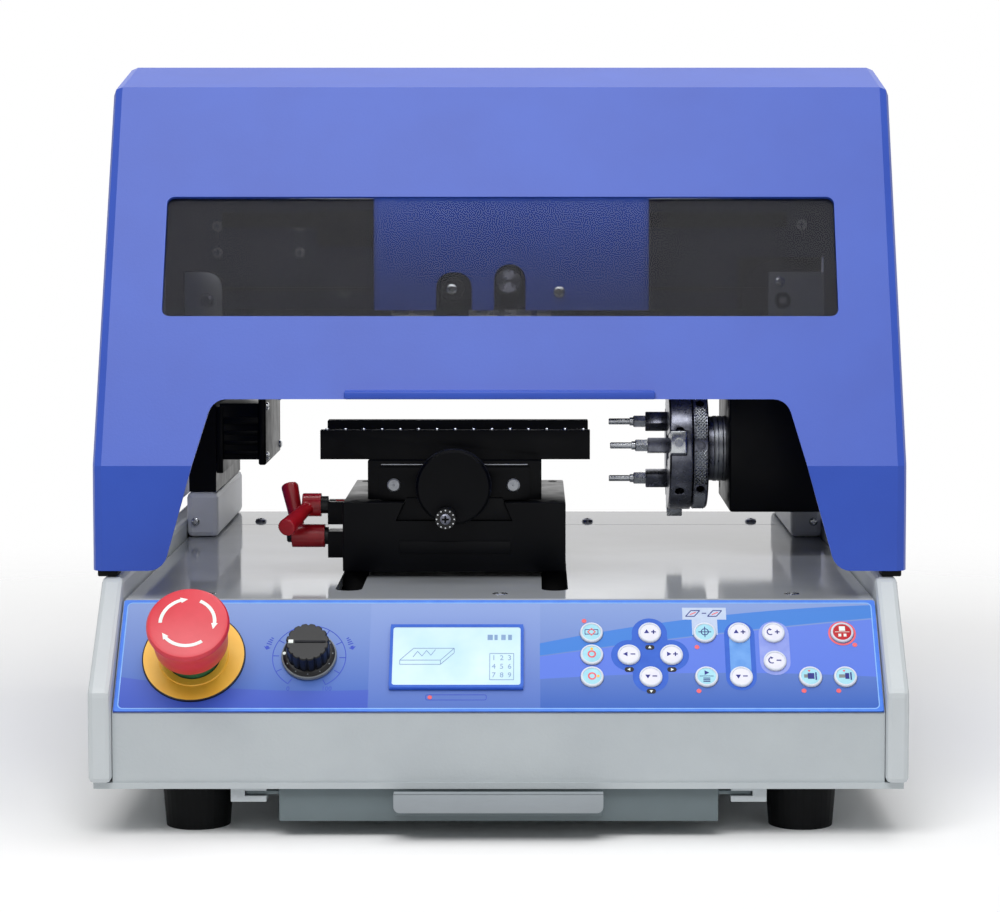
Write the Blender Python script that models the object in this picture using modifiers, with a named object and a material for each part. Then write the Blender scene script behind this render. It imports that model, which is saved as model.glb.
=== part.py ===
"""Bench-top engraving machine: a low base with a sloping control panel, a hinged hood, a gantry
with a spindle head, a three-jaw ring chuck and a small vise.

Metres, +Z up, the front faces -Y. Places are counted from the front of the base, and one empty
carries the whole machine, so that its box is centred on the origin.
"""

import math

import bmesh
import bpy
from mathutils import Vector

# General values
CLEARANCE = 0.0003
OVERRUN = 0.002
SEGMENTS = 32
FINE_SEGMENTS = 48
KEY_SEGMENTS = 20
HOLE_SEGMENTS = 8
ARC_STEPS = 5
MERGE = 0.00005
FLAT_DEGREES = 1
SHARP_DEGREES = 35
BEVEL_DEGREES = 40
HOOD_BEVEL_DEGREES = 60
OPENED_SHARE = 0.9

# Base
BASE_WIDTH = 0.400
BASE_DEPTH = 0.445
SIDE_THICKNESS = 0.011
SIDE_RISE = 0.0105
SIDE_KINK = 0.073
SIDE_SLOPE_RUN = 0.050
SIDE_ROUNDING = 0.0025
PLATE_INSET = 0.002
PLATE_SETBACK = 0.004
PLATE_THICKNESS = 0.003
FOOT_HEIGHT = 0.025
FOOT_RADIUS = 0.018
FOOT_TAPER = 0.002
FOOT_INSET = 0.049
FOOT_SETBACK = 0.040
SHEET = 0.002
SHEET_LIFT = 0.0015
DECK_FLANGE = 0.030

# Mains inlet in the rear wall
INLET_INSET = 0.080
INLET_SIZE = (0.030, 0.022, 0.025)
INLET_SOCKET = (0.024, 0.015, 0.018)
INLET_Z = 0.070

# Control panel: the slope of the front cover
COVER_SETBACK = 0.005
PANEL_FOOT = 0.062
PANEL_RISE = 0.050
PANEL_RUN = 0.043
OVERLAY_MARGIN = 0.0005
OVERLAY_TOP_GAP = 0.002
OVERLAY_THICKNESS = 0.0012

# Controls. A place across is a share of the cover's half width, and a row is up the slope.
ESTOP_SHARE = -0.7992
ESTOP_ROW = 0.0311
ESTOP_DISC_RADIUS = 0.0248
ESTOP_DISC_THICKNESS = 0.001
ESTOP_STEM_RADIUS = 0.013
ESTOP_STEM_DEPTH = 0.006
ESTOP_STEM_HEIGHT = 0.012
ESTOP_HEAD_RADIUS = 0.0203
ESTOP_HEAD_NECK = 0.0145
ESTOP_HEAD_TOP = 0.034
ESTOP_HEAD_EDGE = 0.0016
ESTOP_HEAD_RIM = 0.007
ESTOP_CROWN = 0.0028
KNOB_SHARE = -0.4971
KNOB_ROW = 0.0315
KNOB_SKIRT_RADIUS = 0.01375
KNOB_SKIRT_HEIGHT = 0.004
KNOB_CAP_RADIUS = 0.0107
KNOB_HEIGHT = 0.0165
KNOB_EDGE = 0.001
DISPLAY_SHARE = -0.1108
DISPLAY_ROW = 0.0307
DISPLAY_SIZE = (0.0658, 0.0368)
DISPLAY_THICKNESS = 0.0015
KEY_RADIUS = 0.0057
KEY_HOLE_GAP = 0.0002
KEY_HEIGHT = 0.0024
KEY_EDGE = 0.0006
KEY_TRAVEL = 0.0005
KEY_ROW_TOP = 0.045
KEY_ROW_MIDDLE = 0.0322
KEY_ROW_LOW = 0.0196
KEY_A_MINUS_ROW = 0.0286
KEY_PAD_REACH = 0.0105
KEY_SHARES = (0.2432, 0.3964, 0.5416, 0.6322, 0.7223, 0.8124, 0.9035)

# Deck
DECK_TOP = 0.112
DECK_THICKNESS = 0.006
DECK_FRONT_GAP = 0.0006
DECK_ROUNDING = 0.001
SLOT_INSET = 0.0061
SLOT_WIDTH = 0.0137
SLOT_FRONT_MARGIN = 0.030
SLOT_REAR_MARGIN = 0.124
SEAM_MARGIN = 0.077
SEAM_WIDTH = 0.0008
SEAM_DEPTH = 0.001

# Chip tray and its runners under the base
TRAY_FOOT_GAP = 0.0433
TRAY_FRONT = 0.008
TRAY_DEPTH = 0.200
TRAY_BOTTOM = 0.008
TRAY_WALL = 0.0015
TRAY_TOP_GAP = 0.0004
TRAY_FLANGE_REACH = 0.0165
TRAY_FLANGE_Z = 0.0209
TRAY_FLANGE = 0.002
TRAY_LIP_HALF = 0.051
TRAY_LIP_Z = 0.0122
TRAY_LIP_HEIGHT = 0.004
TRAY_LIP_REACH = 0.007
RUNNER_GAP = 0.0062
RUNNER_WIDTH = 0.0174
RUNNER_BOTTOM = 0.0178

# Hood
HOOD_OVERHANG = 0.0048
HOOD_FRONT = 0.050
HOOD_GAP = 0.0035
HOOD_FOLD_RISE = 0.0395
HOOD_SHOULDER_REACH = 0.054
HOOD_SHOULDER_RISE = 0.0265
HOOD_CREST_RUN = 0.059
HOOD_CREST_RISE = 0.0131
HOOD_WALL = 0.0025
HOOD_ROUNDING = 0.005
HOOD_REAR_LIP = 0.032
HOOD_REAR_LIP_INSET = 0.0448
ARCH_HEIGHT = 0.0855
ARCH_SPLAY = 0.0239
ARCH_POST = 0.0355
ARCH_CORNER = 0.009
ARCH_FLARE = 0.010
ARCH_FLARE_REACH = 0.015
LIP_HALF = 0.0785
LIP_HEIGHT = 0.0042
LIP_REACH = 0.0065
LIP_RISE = 0.0003
WINDOW_POST = 0.03155
WINDOW_RISE = 0.0012
WINDOW_HEIGHT = 0.061
WINDOW_CORNER = 0.004
PANE_MARGIN = 0.010
PANE_THICKNESS = 0.003

# Hinge of the hood
PIN_SETBACK = 0.020
PIN_DROP = 0.0266
PIN_RADIUS = 0.004
PIN_END_GAP = 0.0015
BOSS_RADIUS = 0.009
BOSS_LENGTH = 0.012
EAR_RISE = 0.012
EAR_HALF = 0.013
EAR_CORNER = 0.008

# Gantry
PILLAR_DEPTH = 0.139
PILLAR_THICKNESS = 0.0185
PILLAR_FOOT_RISE = 0.027
PILLAR_ROUNDING = 0.003
CHEEK_INSET = 0.0012
CHEEK_SETBACK = 0.003
CHEEK_SHOULDER = 0.025
GANTRY_RISE = 0.088
GANTRY_HEIGHT = 0.107
GANTRY_PLATE = 0.012
CHEEK_WINDOW_SETBACK = 0.020
CHEEK_WINDOW_DEPTH = 0.062
CHEEK_WINDOW_RISE = 0.016
CHEEK_WINDOW_HEIGHT = 0.068
CHEEK_WINDOW_ROUNDING = 0.006
RAIL_END_GAP = 0.0042
RAIL_DROP = 0.002
RAIL_HEIGHT = 0.009
RAIL_PROUD = 0.008
MOTOR_SIDE = 0.042
MOTOR_LENGTH = 0.036
MOTOR_ROUNDING = 0.003

# Belt drive of the X axis
BELT_RISE = 0.0535
IDLER_INSET = 0.0143
DRIVE_INSET = 0.0253
BELT_STANDOFF = 0.0094
BELT_WIDTH = 0.006
BELT_THICKNESS = 0.0014
PULLEY_RADIUS = 0.0056
PULLEY_FLANGE = 0.0016
PULLEY_FLANGE_RISE = 0.0022
PULLEY_BORE = 0.0033
DRIVE_WHEEL_RADIUS = 0.0237
DRIVE_WHEEL_THICKNESS = 0.0036
DRIVE_SHAFT_RADIUS = 0.003
DRIVE_SHAFT_DEPTH = 0.012
BRACKET_THICKNESS = 0.003
BRACKET_GAP = 0.0006
BRACKET_LOW = 0.0095
BRACKET_HIGH = 0.0165
BRACKET_REACH = 0.0085
BRACKET_CORNER = 0.006
BRACKET_POST = 0.0045

# X carriage and head
HEAD_X = 0.005
HEAD_WIDTH = 0.1516
HEAD_REACH = 0.112
HEAD_DROP = 0.0019
HEAD_HEIGHT = 0.0934
HEAD_SHEET = 0.002
HEAD_ROUNDING = 0.003
CARRIAGE_STANDOFF = 0.021
CARRIAGE_THICKNESS = 0.0107
CARRIAGE_DROP = 0.082
CARRIAGE_RISE = 0.005
RUNNER_HALF = 0.045
RUNNER_DROP = 0.019
NOTCH_CLAMP_X = (-0.0365, -0.0167)
NOTCH_CLAMP_RISE = 0.0209
NOTCH_DISC_X = (-0.0046, 0.0128)
NOTCH_DISC_RISE = 0.0254
NOTCH_ROUNDING = 0.0085
SPINDLE_REACH = 0.046
SPINDLE_RADIUS = 0.019
SPINDLE_DROP = 0.0066
SPINDLE_TOP_DROP = 0.012
NOSE_RADIUS = 0.011
NOSE_LENGTH = 0.007
SLIDE_HALF = 0.030
CLAMP_BLOCK = (-0.045, 0.024)
CLAMP_BLOCK_REACH = 0.080
CLAMP_BLOCK_DEPTH = 0.040
CLAMP_BLOCK_RISE = 0.0019
CLAMP_BLOCK_HEIGHT = 0.0225
SHAFT_RADIUS = 0.004
SHAFT_DEPTH = 0.024
COLLET_RADIUS = 0.008
COLLET_TIP_RADIUS = 0.0045
COLLET_LENGTH = 0.013
COLLET_SHARE = 2 / 3
CUTTER_RADIUS = 0.0016
CUTTER_LENGTH = 0.018
CUTTER_SHARE = 2 / 3
CLAMP_KNOB_X = -0.0278
CLAMP_KNOB_RISE = 0.0114
DISC_KNOB_X = 0.0033
DISC_KNOB_RISE = 0.0159
HEAD_KNOB_RADIUS = 0.0067
HEAD_KNOB_SETBACK = 0.0035
HEAD_KNOB_LENGTH = 0.010
HEAD_KNOB_EDGE = 0.0008
HEAD_STEM_RADIUS = 0.0025
HEAD_STEM_DEPTH = 0.008

# Chuck: it turns on an axis along X
CHUCK_RISE = 0.0574
CHUCK_RADIUS = 0.035
CHUCK_EDGE = 0.001
NECK_RADIUS = 0.0185
NECK_LENGTH = 0.0099
CORE_RADIUS = 0.017
RING_RADIUS = 0.0346
RING_LENGTH = 0.0093
RING_HOLE = 0.0025
RING_HOLE_DEPTH = 0.008
RING_HOLES = 8
FACE_LENGTH = 0.0127
JAW_ANGLES = (50, 170, 290)
JAW_SLOT = 0.014
JAW_SLOT_DEPTH = 0.0096
JAW_SLIDE_INNER = 0.014
JAW_SLIDE_OUTER = 0.039
JAW_FINGER_RADIUS = 0.019
JAW_BLOCK = 0.0125
JAW_BLOCK_LENGTH = 0.0128
JAW_PIN_RADIUS = 0.0036
JAW_PIN_LENGTH = 0.0115
JAW_TIP_RADIUS = 0.0024
JAW_TIP_LENGTH = 0.0095
CHUCK_SHAFT_RADIUS = 0.012
CHUCK_SHAFT_DEPTH = 0.022
GEARBOX_REACH = 0.0432
GEARBOX_DEPTH = 0.0908
GEARBOX_GAP = 0.0006
GEARBOX_DROP = 0.0319
GEARBOX_HEIGHT = 0.0685
GEARBOX_ROUNDING = 0.0015

# Motor on the left upright
SIDE_MOTOR_REACH = 0.0288
SIDE_MOTOR_DEPTH = 0.094
SIDE_MOTOR_DROP = 0.0142
SIDE_MOTOR_HEIGHT = 0.0396
SIDE_MOTOR_PLATE = 0.0045
SIDE_MOTOR_WAIST = 0.003
SIDE_MOTOR_FLANGE = 0.004
SIDE_MOTOR_FLANGE_DROP = 0.005
SIDE_MOTOR_ROUNDING = 0.004

# Vise
VISE_X = -0.025
VISE_WIDTH = 0.1184
VISE_SETBACK = 0.050
VISE_DEPTH = 0.120
VISE_LIFT = 0.003
VISE_LOWER_HEIGHT = 0.037
VISE_ROUNDING = 0.0008
LEG_SETBACK = 0.017
LEG_DEPTH = 0.080
CARRIER_TOP_GAP = 0.003
CARRIER_THICKNESS = 0.012
CARRIER_OVERHANG = 0.005
DOVETAIL_TOP_HALF = 0.0264
DOVETAIL_FOOT_HALF = 0.0306
DOVETAIL_DEPTH = 0.0096
STEM_HALF = 0.0464
STEM_SETBACK = 0.012
FRONT_PLATE_HALF = 0.040
FRONT_PLATE_THICKNESS = 0.0045
FRONT_PLATE_RISE = 0.018
JAW_WIDTH = 0.145
JAW_RISE = 0.021
JAW_HEIGHT = 0.0155
JAW_SETBACK = 0.022
JAW_DEPTH = 0.029
JAW_GAP = 0.006
TROUGH_HALF = 0.0243
TROUGH_RISE = 0.0015
TROUGH_MARGIN = 0.002
TONGUE_SETBACK = 0.002
TONGUE_DEPTH = 0.018
SCREW_RISE = 0.0093
SCREW_RADIUS = 0.005
SCREW_HOLE_GAP = 0.0004
WHEEL_RADIUS = 0.0197
WHEEL_REACH = 0.012
WHEEL_THICKNESS = 0.0102
WHEEL_EDGE = 0.0012
CRANK_OFFSET = (-0.0038, -0.0153)
CRANK_RADIUS = 0.0053
CRANK_LENGTH = 0.013
CRANK_PIN_RADIUS = 0.002
CRANK_GAP = 0.0004
STUD_BLOCK_REACH = 0.009
STUD_BLOCK_SETBACK = 0.016
UPPER_STUD_DROP = 0.0135
UPPER_STUD_HEIGHT = 0.012
LOWER_STUD_DROP = 0.0315
LOWER_STUD_HEIGHT = 0.014
STUD_RADIUS = 0.003
LEVER_HUB_RADIUS = 0.0063
UPPER_LEVER_HUB = 0.0138
LOWER_LEVER_HUB = 0.0195
STUD_BLOCK_DEPTH = 0.016
UPPER_LEVER_DROP = 0.0038
LOWER_LEVER_DROP = 0.0205
LEVER_ARM_INSET = 0.0042
UPPER_LEVER_ARM = (-0.0105, -0.030, -0.009)
LOWER_LEVER_ARM = (-0.007, 0.018, 0.025)
LEVER_ARM_RADIUS = 0.0032
LEVER_ARM_TIP = 0.0048

# Worked out from the values above
INNER_HALF = BASE_WIDTH / 2 - SIDE_THICKNESS
FITTED_HALF = INNER_HALF - CLEARANCE
PLATE_TOP = FOOT_HEIGHT + PLATE_THICKNESS
DECK_BOTTOM = DECK_TOP - DECK_THICKNESS
SIDE_TOP = DECK_TOP + SIDE_RISE
PILLAR_FOOT_TOP = DECK_TOP + PILLAR_FOOT_RISE
GANTRY_BOTTOM = DECK_TOP + GANTRY_RISE
GANTRY_TOP = GANTRY_BOTTOM + GANTRY_HEIGHT
BELT_HEIGHT = GANTRY_BOTTOM + BELT_RISE
HEAD_BOTTOM = BELT_HEIGHT - HEAD_DROP
HEAD_TOP = HEAD_BOTTOM + HEAD_HEIGHT
HOOD_BOTTOM = SIDE_TOP + HOOD_GAP
HOOD_FOLD = HOOD_BOTTOM + HOOD_FOLD_RISE
HOOD_SHOULDER_Z = HEAD_TOP + HOOD_SHOULDER_RISE
HOOD_TOP = HOOD_SHOULDER_Z + HOOD_CREST_RISE
ARCH_TOP = HOOD_BOTTOM + ARCH_HEIGHT
WINDOW_LOW = HEAD_BOTTOM + WINDOW_RISE
WINDOW_HIGH = WINDOW_LOW + WINDOW_HEIGHT
PIN_Z = HOOD_TOP - PIN_DROP
CHEEK_WINDOW_BOTTOM = GANTRY_BOTTOM + CHEEK_WINDOW_RISE
CHEEK_WINDOW_Z = (CHEEK_WINDOW_BOTTOM, CHEEK_WINDOW_BOTTOM + CHEEK_WINDOW_HEIGHT)
RAIL_HIGH = GANTRY_TOP - RAIL_DROP
RAIL_LOW = RAIL_HIGH - RAIL_HEIGHT
CARRIAGE_BOTTOM = GANTRY_TOP - CARRIAGE_DROP
CARRIAGE_TOP = GANTRY_TOP + CARRIAGE_RISE
RUNNER_Z = GANTRY_TOP - RUNNER_DROP
NOTCH_CLAMP = (*NOTCH_CLAMP_X, HEAD_BOTTOM + NOTCH_CLAMP_RISE)
NOTCH_DISC = (*NOTCH_DISC_X, HEAD_BOTTOM + NOTCH_DISC_RISE)
SPINDLE_BOTTOM = HEAD_BOTTOM - SPINDLE_DROP
SPINDLE_TOP = HEAD_TOP - SPINDLE_TOP_DROP
CLAMP_BLOCK_BOTTOM = HEAD_BOTTOM + CLAMP_BLOCK_RISE
CLAMP_BLOCK_Z = (CLAMP_BLOCK_BOTTOM, CLAMP_BLOCK_BOTTOM + CLAMP_BLOCK_HEIGHT)
CLAMP_KNOB_PLACE = (CLAMP_KNOB_X, HEAD_BOTTOM + CLAMP_KNOB_RISE)
DISC_KNOB_PLACE = (DISC_KNOB_X, HEAD_BOTTOM + DISC_KNOB_RISE)
CHUCK_HEIGHT = DECK_TOP + CHUCK_RISE
GEARBOX_BOTTOM = CHUCK_HEIGHT - GEARBOX_DROP
GEARBOX_TOP = GEARBOX_BOTTOM + GEARBOX_HEIGHT
SIDE_MOTOR_BOTTOM = CHUCK_HEIGHT - SIDE_MOTOR_DROP
SIDE_MOTOR_TOP = SIDE_MOTOR_BOTTOM + SIDE_MOTOR_HEIGHT
VISE_BOTTOM = DECK_TOP + VISE_LIFT
VISE_SPLIT = VISE_BOTTOM + VISE_LOWER_HEIGHT
FRONT_PLATE_TOP = VISE_SPLIT + FRONT_PLATE_RISE
JAW_BOTTOM = VISE_SPLIT + JAW_RISE
JAW_TOP = JAW_BOTTOM + JAW_HEIGHT
TROUGH_FLOOR = VISE_SPLIT + TROUGH_RISE
SCREW_HEIGHT = VISE_SPLIT + SCREW_RISE
UPPER_STUD_BOTTOM = VISE_SPLIT - UPPER_STUD_DROP
UPPER_STUD_Z = (UPPER_STUD_BOTTOM, UPPER_STUD_BOTTOM + UPPER_STUD_HEIGHT)
LOWER_STUD_BOTTOM = VISE_SPLIT - LOWER_STUD_DROP
LOWER_STUD_Z = (LOWER_STUD_BOTTOM, LOWER_STUD_BOTTOM + LOWER_STUD_HEIGHT)
UPPER_LEVER_Z = VISE_SPLIT - UPPER_LEVER_DROP
LOWER_LEVER_Z = VISE_SPLIT - LOWER_LEVER_DROP
PANEL_LENGTH = math.hypot(PANEL_RUN, PANEL_RISE)
PANEL_ANGLE = math.atan2(PANEL_RISE, PANEL_RUN)
PANEL_HEAD_Y = COVER_SETBACK + PANEL_RUN * (DECK_TOP - PANEL_FOOT) / PANEL_RISE
OVERLAY_TOP = CLEARANCE + OVERLAY_THICKNESS
BASE_REAR = BASE_DEPTH - SHEET
FOOT_X = BASE_WIDTH / 2 - FOOT_INSET
INLET_X = INLET_INSET - BASE_WIDTH / 2
ESTOP_PLACE = (ESTOP_SHARE * FITTED_HALF, ESTOP_ROW)
KNOB_PLACE = (KNOB_SHARE * FITTED_HALF, KNOB_ROW)
DISPLAY_PLACE = (DISPLAY_SHARE * FITTED_HALF, DISPLAY_ROW)
SLOT_REACH = VISE_WIDTH / 2 - SLOT_INSET
SLOT_FRONT = PANEL_HEAD_Y + SLOT_FRONT_MARGIN
SLOT_REAR = BASE_DEPTH - SLOT_REAR_MARGIN
SEAM_Y = BASE_DEPTH - SEAM_MARGIN
TRAY_HALF = FOOT_X - TRAY_FOOT_GAP
PILLAR_REAR = BASE_DEPTH - PLATE_SETBACK
PILLAR_FRONT = PILLAR_REAR - PILLAR_DEPTH
HEAD_FRONT = PILLAR_FRONT - HEAD_REACH
HOOD_HALF = BASE_WIDTH / 2 + HOOD_OVERHANG
HOOD_WIDTH = 2 * HOOD_HALF
HOOD_SHOULDER_Y = HEAD_FRONT - HOOD_SHOULDER_REACH
HOOD_LEAN = math.atan2(HOOD_SHOULDER_Y - HOOD_FRONT, HOOD_SHOULDER_Z - HOOD_FOLD)
HOOD_REAR_LIP_HALF = HOOD_HALF - HOOD_REAR_LIP_INSET
ARCH_FOOT_HALF = HOOD_HALF - ARCH_POST
ARCH_TOP_HALF = ARCH_FOOT_HALF - ARCH_SPLAY
WINDOW_HALF = HOOD_HALF - WINDOW_POST
PIN_Y = BASE_DEPTH - PIN_SETBACK
PIN_HALF = HOOD_HALF - HOOD_WALL - PIN_END_GAP
PILLAR_INNER = FITTED_HALF - PILLAR_THICKNESS
CHEEK_OUTER = FITTED_HALF - CHEEK_INSET
CHEEK_INNER = PILLAR_INNER + CHEEK_INSET
CHEEK_FRONT = PILLAR_FRONT + CHEEK_SETBACK
CHEEK_REAR = PILLAR_REAR - CHEEK_INSET
CHEEK_WINDOW_FRONT = PILLAR_FRONT + CHEEK_WINDOW_SETBACK
CHEEK_WINDOW_Y = (CHEEK_WINDOW_FRONT, CHEEK_WINDOW_FRONT + CHEEK_WINDOW_DEPTH)
RAIL_HALF = PILLAR_INNER - RAIL_END_GAP
BELT_IDLER_X = IDLER_INSET - FITTED_HALF
BELT_DRIVE_X = FITTED_HALF - DRIVE_INSET
BELT_FRONT = PILLAR_FRONT - BELT_STANDOFF
CARRIAGE_FRONT = PILLAR_FRONT - CARRIAGE_STANDOFF
CARRIAGE_REAR = CARRIAGE_FRONT + CARRIAGE_THICKNESS
HEAD_HALF = HEAD_WIDTH / 2
HEAD_KNOB_FRONT = HEAD_FRONT + HEAD_KNOB_SETBACK
SPINDLE_Y = PILLAR_FRONT - SPINDLE_REACH
CLAMP_BLOCK_FRONT = PILLAR_FRONT - CLAMP_BLOCK_REACH
CLAMP_BLOCK_REAR = CLAMP_BLOCK_FRONT + CLAMP_BLOCK_DEPTH
NOSE_END = SPINDLE_BOTTOM - NOSE_LENGTH
CHUCK_Y = PILLAR_FRONT - GEARBOX_GAP - GEARBOX_DEPTH / 2
GEARBOX_FACE = PILLAR_INNER - GEARBOX_REACH
SIDE_MOTOR_END = SIDE_MOTOR_REACH - PILLAR_INNER
LEG_WIDTH = SLOT_WIDTH - 2 * CLEARANCE
VISE_FRONT = SLOT_FRONT + VISE_SETBACK
VISE_REAR = VISE_FRONT + VISE_DEPTH
LEG_FRONT = VISE_FRONT + LEG_SETBACK
WHEEL_FRONT = VISE_FRONT - WHEEL_REACH
JAW_FRONT = VISE_FRONT + JAW_SETBACK
STUD_BLOCK_FRONT = VISE_FRONT + STUD_BLOCK_SETBACK
STUD_BLOCK_Y = (STUD_BLOCK_FRONT, STUD_BLOCK_FRONT + STUD_BLOCK_DEPTH)
LEVER_Y = STUD_BLOCK_FRONT + STUD_BLOCK_DEPTH / 2
MOVING_JAW_FRONT = JAW_FRONT + JAW_DEPTH + JAW_GAP
PANEL_OUT = Vector((0, -math.sin(PANEL_ANGLE), math.cos(PANEL_ANGLE)))
PANEL_UP = Vector((0, math.cos(PANEL_ANGLE), math.sin(PANEL_ANGLE)))
ESTOP_RIM_HEIGHT = ESTOP_HEAD_TOP - ESTOP_CROWN
FRONT_REACH = (
    COVER_SETBACK
    + PANEL_UP.y * (ESTOP_PLACE[1] - ESTOP_HEAD_RADIUS)
    + PANEL_OUT.y * (ESTOP_RIM_HEIGHT - ESTOP_HEAD_EDGE)
)
MIDDLE_Y = (FRONT_REACH + BASE_DEPTH) / 2

TURNS = {
    "+X": (0, math.pi / 2, 0),
    "-X": (0, -math.pi / 2, 0),
    "+Y": (-math.pi / 2, 0, 0),
    "-Y": (math.pi / 2, 0, 0),
    "+Z": (0, 0, 0),
    "-Z": (math.pi, 0, 0),
}

# Colour, roughness and metallic share of each finish
FINISHES = {
    "pale_paint": ((0.46, 0.50, 0.52), 0.5, 0.0),
    "side_paint": ((0.66, 0.69, 0.71), 0.45, 0.0),
    "blue_paint": ((0.15, 0.23, 0.77), 0.35, 0.0),
    "deck_grey": ((0.42, 0.43, 0.45), 0.4, 0.6),
    "panel_blue": ((0.10, 0.22, 0.70), 0.4, 0.0),
    "black_anodised": ((0.012, 0.012, 0.016), 0.4, 0.4),
    "black_plastic": ((0.010, 0.010, 0.012), 0.45, 0.0),
    "white_paint": ((0.70, 0.72, 0.73), 0.4, 0.0),
    "steel": ((0.55, 0.56, 0.58), 0.25, 1.0),
    "dark_steel": ((0.12, 0.12, 0.13), 0.35, 0.9),
    "rubber": ((0.008, 0.009, 0.010), 0.8, 0.0),
    "tinted_acrylic": ((0.05, 0.06, 0.07), 0.1, 0.0),
    "red_plastic": ((0.65, 0.03, 0.05), 0.35, 0.0),
    "lever_red": ((0.36, 0.01, 0.02), 0.4, 0.0),
    "green_plastic": ((0.05, 0.35, 0.12), 0.4, 0.0),
    "key_white": ((0.75, 0.78, 0.82), 0.4, 0.0),
    "display_glass": ((0.60, 0.80, 0.90), 0.1, 0.0),
}


def start_scene():
    """Clears the scene and makes the two collections and the empties that carry the pieces."""
    for old in list(bpy.data.objects):
        bpy.data.objects.remove(old)
    pieces = bpy.data.collections.new("engraving_machine")
    cutters = bpy.data.collections.new("cutters")
    for group in (pieces, cutters):
        bpy.context.scene.collection.children.link(group)
    machine = bpy.data.objects.new("machine_frame", None)
    machine.location = (0, -MIDDLE_Y, 0)
    panel = bpy.data.objects.new("panel_frame", None)
    panel.location = (0, COVER_SETBACK, PANEL_FOOT)
    panel.rotation_euler = (PANEL_ANGLE, 0, 0)
    panel.parent = machine
    for empty in (machine, panel):
        pieces.objects.link(empty)
    return pieces, cutters, machine, panel


PIECES, CUTTERS, MACHINE, PANEL = start_scene()


def give_finish(piece, finish):
    """A Principled material of the piece's own."""
    colour, roughness, metallic = FINISHES[finish]
    made = bpy.data.materials.new(f"{piece.name}_{finish}")
    made.use_nodes = True
    shader = made.node_tree.nodes["Principled BSDF"]
    shader.inputs["Base Color"].default_value = (*colour, 1)
    shader.inputs["Roughness"].default_value = roughness
    shader.inputs["Metallic"].default_value = metallic
    piece.data.materials.append(made)


def add_piece(name, mesh, finish, place=(0, 0, 0), turn=(0, 0, 0), carrier=None):
    """Puts a mesh in the machine as one named piece."""
    piece = bpy.data.objects.new(name, mesh)
    piece.location = place
    piece.rotation_euler = turn
    piece.parent = carrier or MACHINE
    PIECES.objects.link(piece)
    give_finish(piece, finish)
    mesh.shade_smooth()
    mesh.set_sharp_from_angle(angle=math.radians(SHARP_DEGREES))
    return piece


def mesh_of(shape, name):
    """Turns a bmesh into a mesh and frees it."""
    mesh = bpy.data.meshes.new(name)
    shape.to_mesh(mesh)
    shape.free()
    return mesh


def bevel(piece, width, limit=BEVEL_DEGREES):
    """Rounds the piece's edges that are sharper than the limit in degrees."""
    rounding = piece.modifiers.new("rounding", "BEVEL")
    rounding.width = width
    rounding.segments = 2
    rounding.limit_method = "ANGLE"
    rounding.angle_limit = math.radians(limit)


def box(name, low, high, finish="steel", rounding=0, carrier=None, pivot=None):
    """A block between two corners. Its origin is its middle, or the pivot."""
    low, high = Vector(low), Vector(high)
    place = Vector(pivot) if pivot else (low + high) / 2
    shape = bmesh.new()
    bmesh.ops.create_cube(shape, size=1)
    bmesh.ops.scale(shape, vec=high - low, verts=shape.verts)
    bmesh.ops.translate(shape, vec=(low + high) / 2 - place, verts=shape.verts)
    piece = add_piece(name, mesh_of(shape, name), finish, place, carrier=carrier)
    if rounding:
        bevel(piece, rounding)
    return piece


def rod(name, start, direction, length, radius, finish="steel", tip=None, sides=SEGMENTS, carrier=None):
    """A cylinder or cone from its start, along one of the six directions or a turn."""
    shape = bmesh.new()
    bmesh.ops.create_cone(
        shape,
        cap_ends=True,
        segments=sides,
        radius1=radius,
        radius2=radius if tip is None else tip,
        depth=length,
    )
    bmesh.ops.translate(shape, vec=(0, 0, length / 2), verts=shape.verts)
    turn = TURNS[direction] if isinstance(direction, str) else direction
    return add_piece(name, mesh_of(shape, name), finish, start, turn, carrier)


def turned(name, start, direction, profile, finish, sides=SEGMENTS, carrier=None):
    """A turned piece. The profile holds (radius, height) points down its outer side."""
    hollow = profile[0][0] > 0
    shape = bmesh.new()
    points = [shape.verts.new((radius, 0, height)) for radius, height in profile]
    for first, second in zip(points, points[1:]):
        shape.edges.new((first, second))
    if hollow:
        shape.edges.new((points[-1], points[0]))
    piece = add_piece(name, mesh_of(shape, name), finish, start, TURNS[direction], carrier)
    screw = piece.modifiers.new("turning", "SCREW")
    screw.steps = sides
    screw.render_steps = sides
    screw.use_merge_vertices = True
    screw.merge_threshold = MERGE
    return piece


def filleted(corners):
    """Outline points of a polygon whose corners are (across, up, radius)."""
    points = []
    for index, (x, y, radius) in enumerate(corners):
        here = Vector((x, y))
        if not radius:
            points.append(here)
            continue
        before = Vector(corners[index - 1][:2]) - here
        after = Vector(corners[(index + 1) % len(corners)][:2]) - here
        half = before.angle(after) / 2
        start = here + before.normalized() * (radius / math.tan(half))
        end = here + after.normalized() * (radius / math.tan(half))
        middle = here + (before.normalized() + after.normalized()).normalized() * (
            radius / math.sin(half)
        )
        first = start - middle
        sweep = first.angle_signed(end - middle)
        for step in range(ARC_STEPS + 1):
            turn = -sweep * step / ARC_STEPS
            cosine, sine = math.cos(turn), math.sin(turn)
            points.append(
                middle
                + Vector((first.x * cosine - first.y * sine, first.x * sine + first.y * cosine))
            )
    return points


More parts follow.
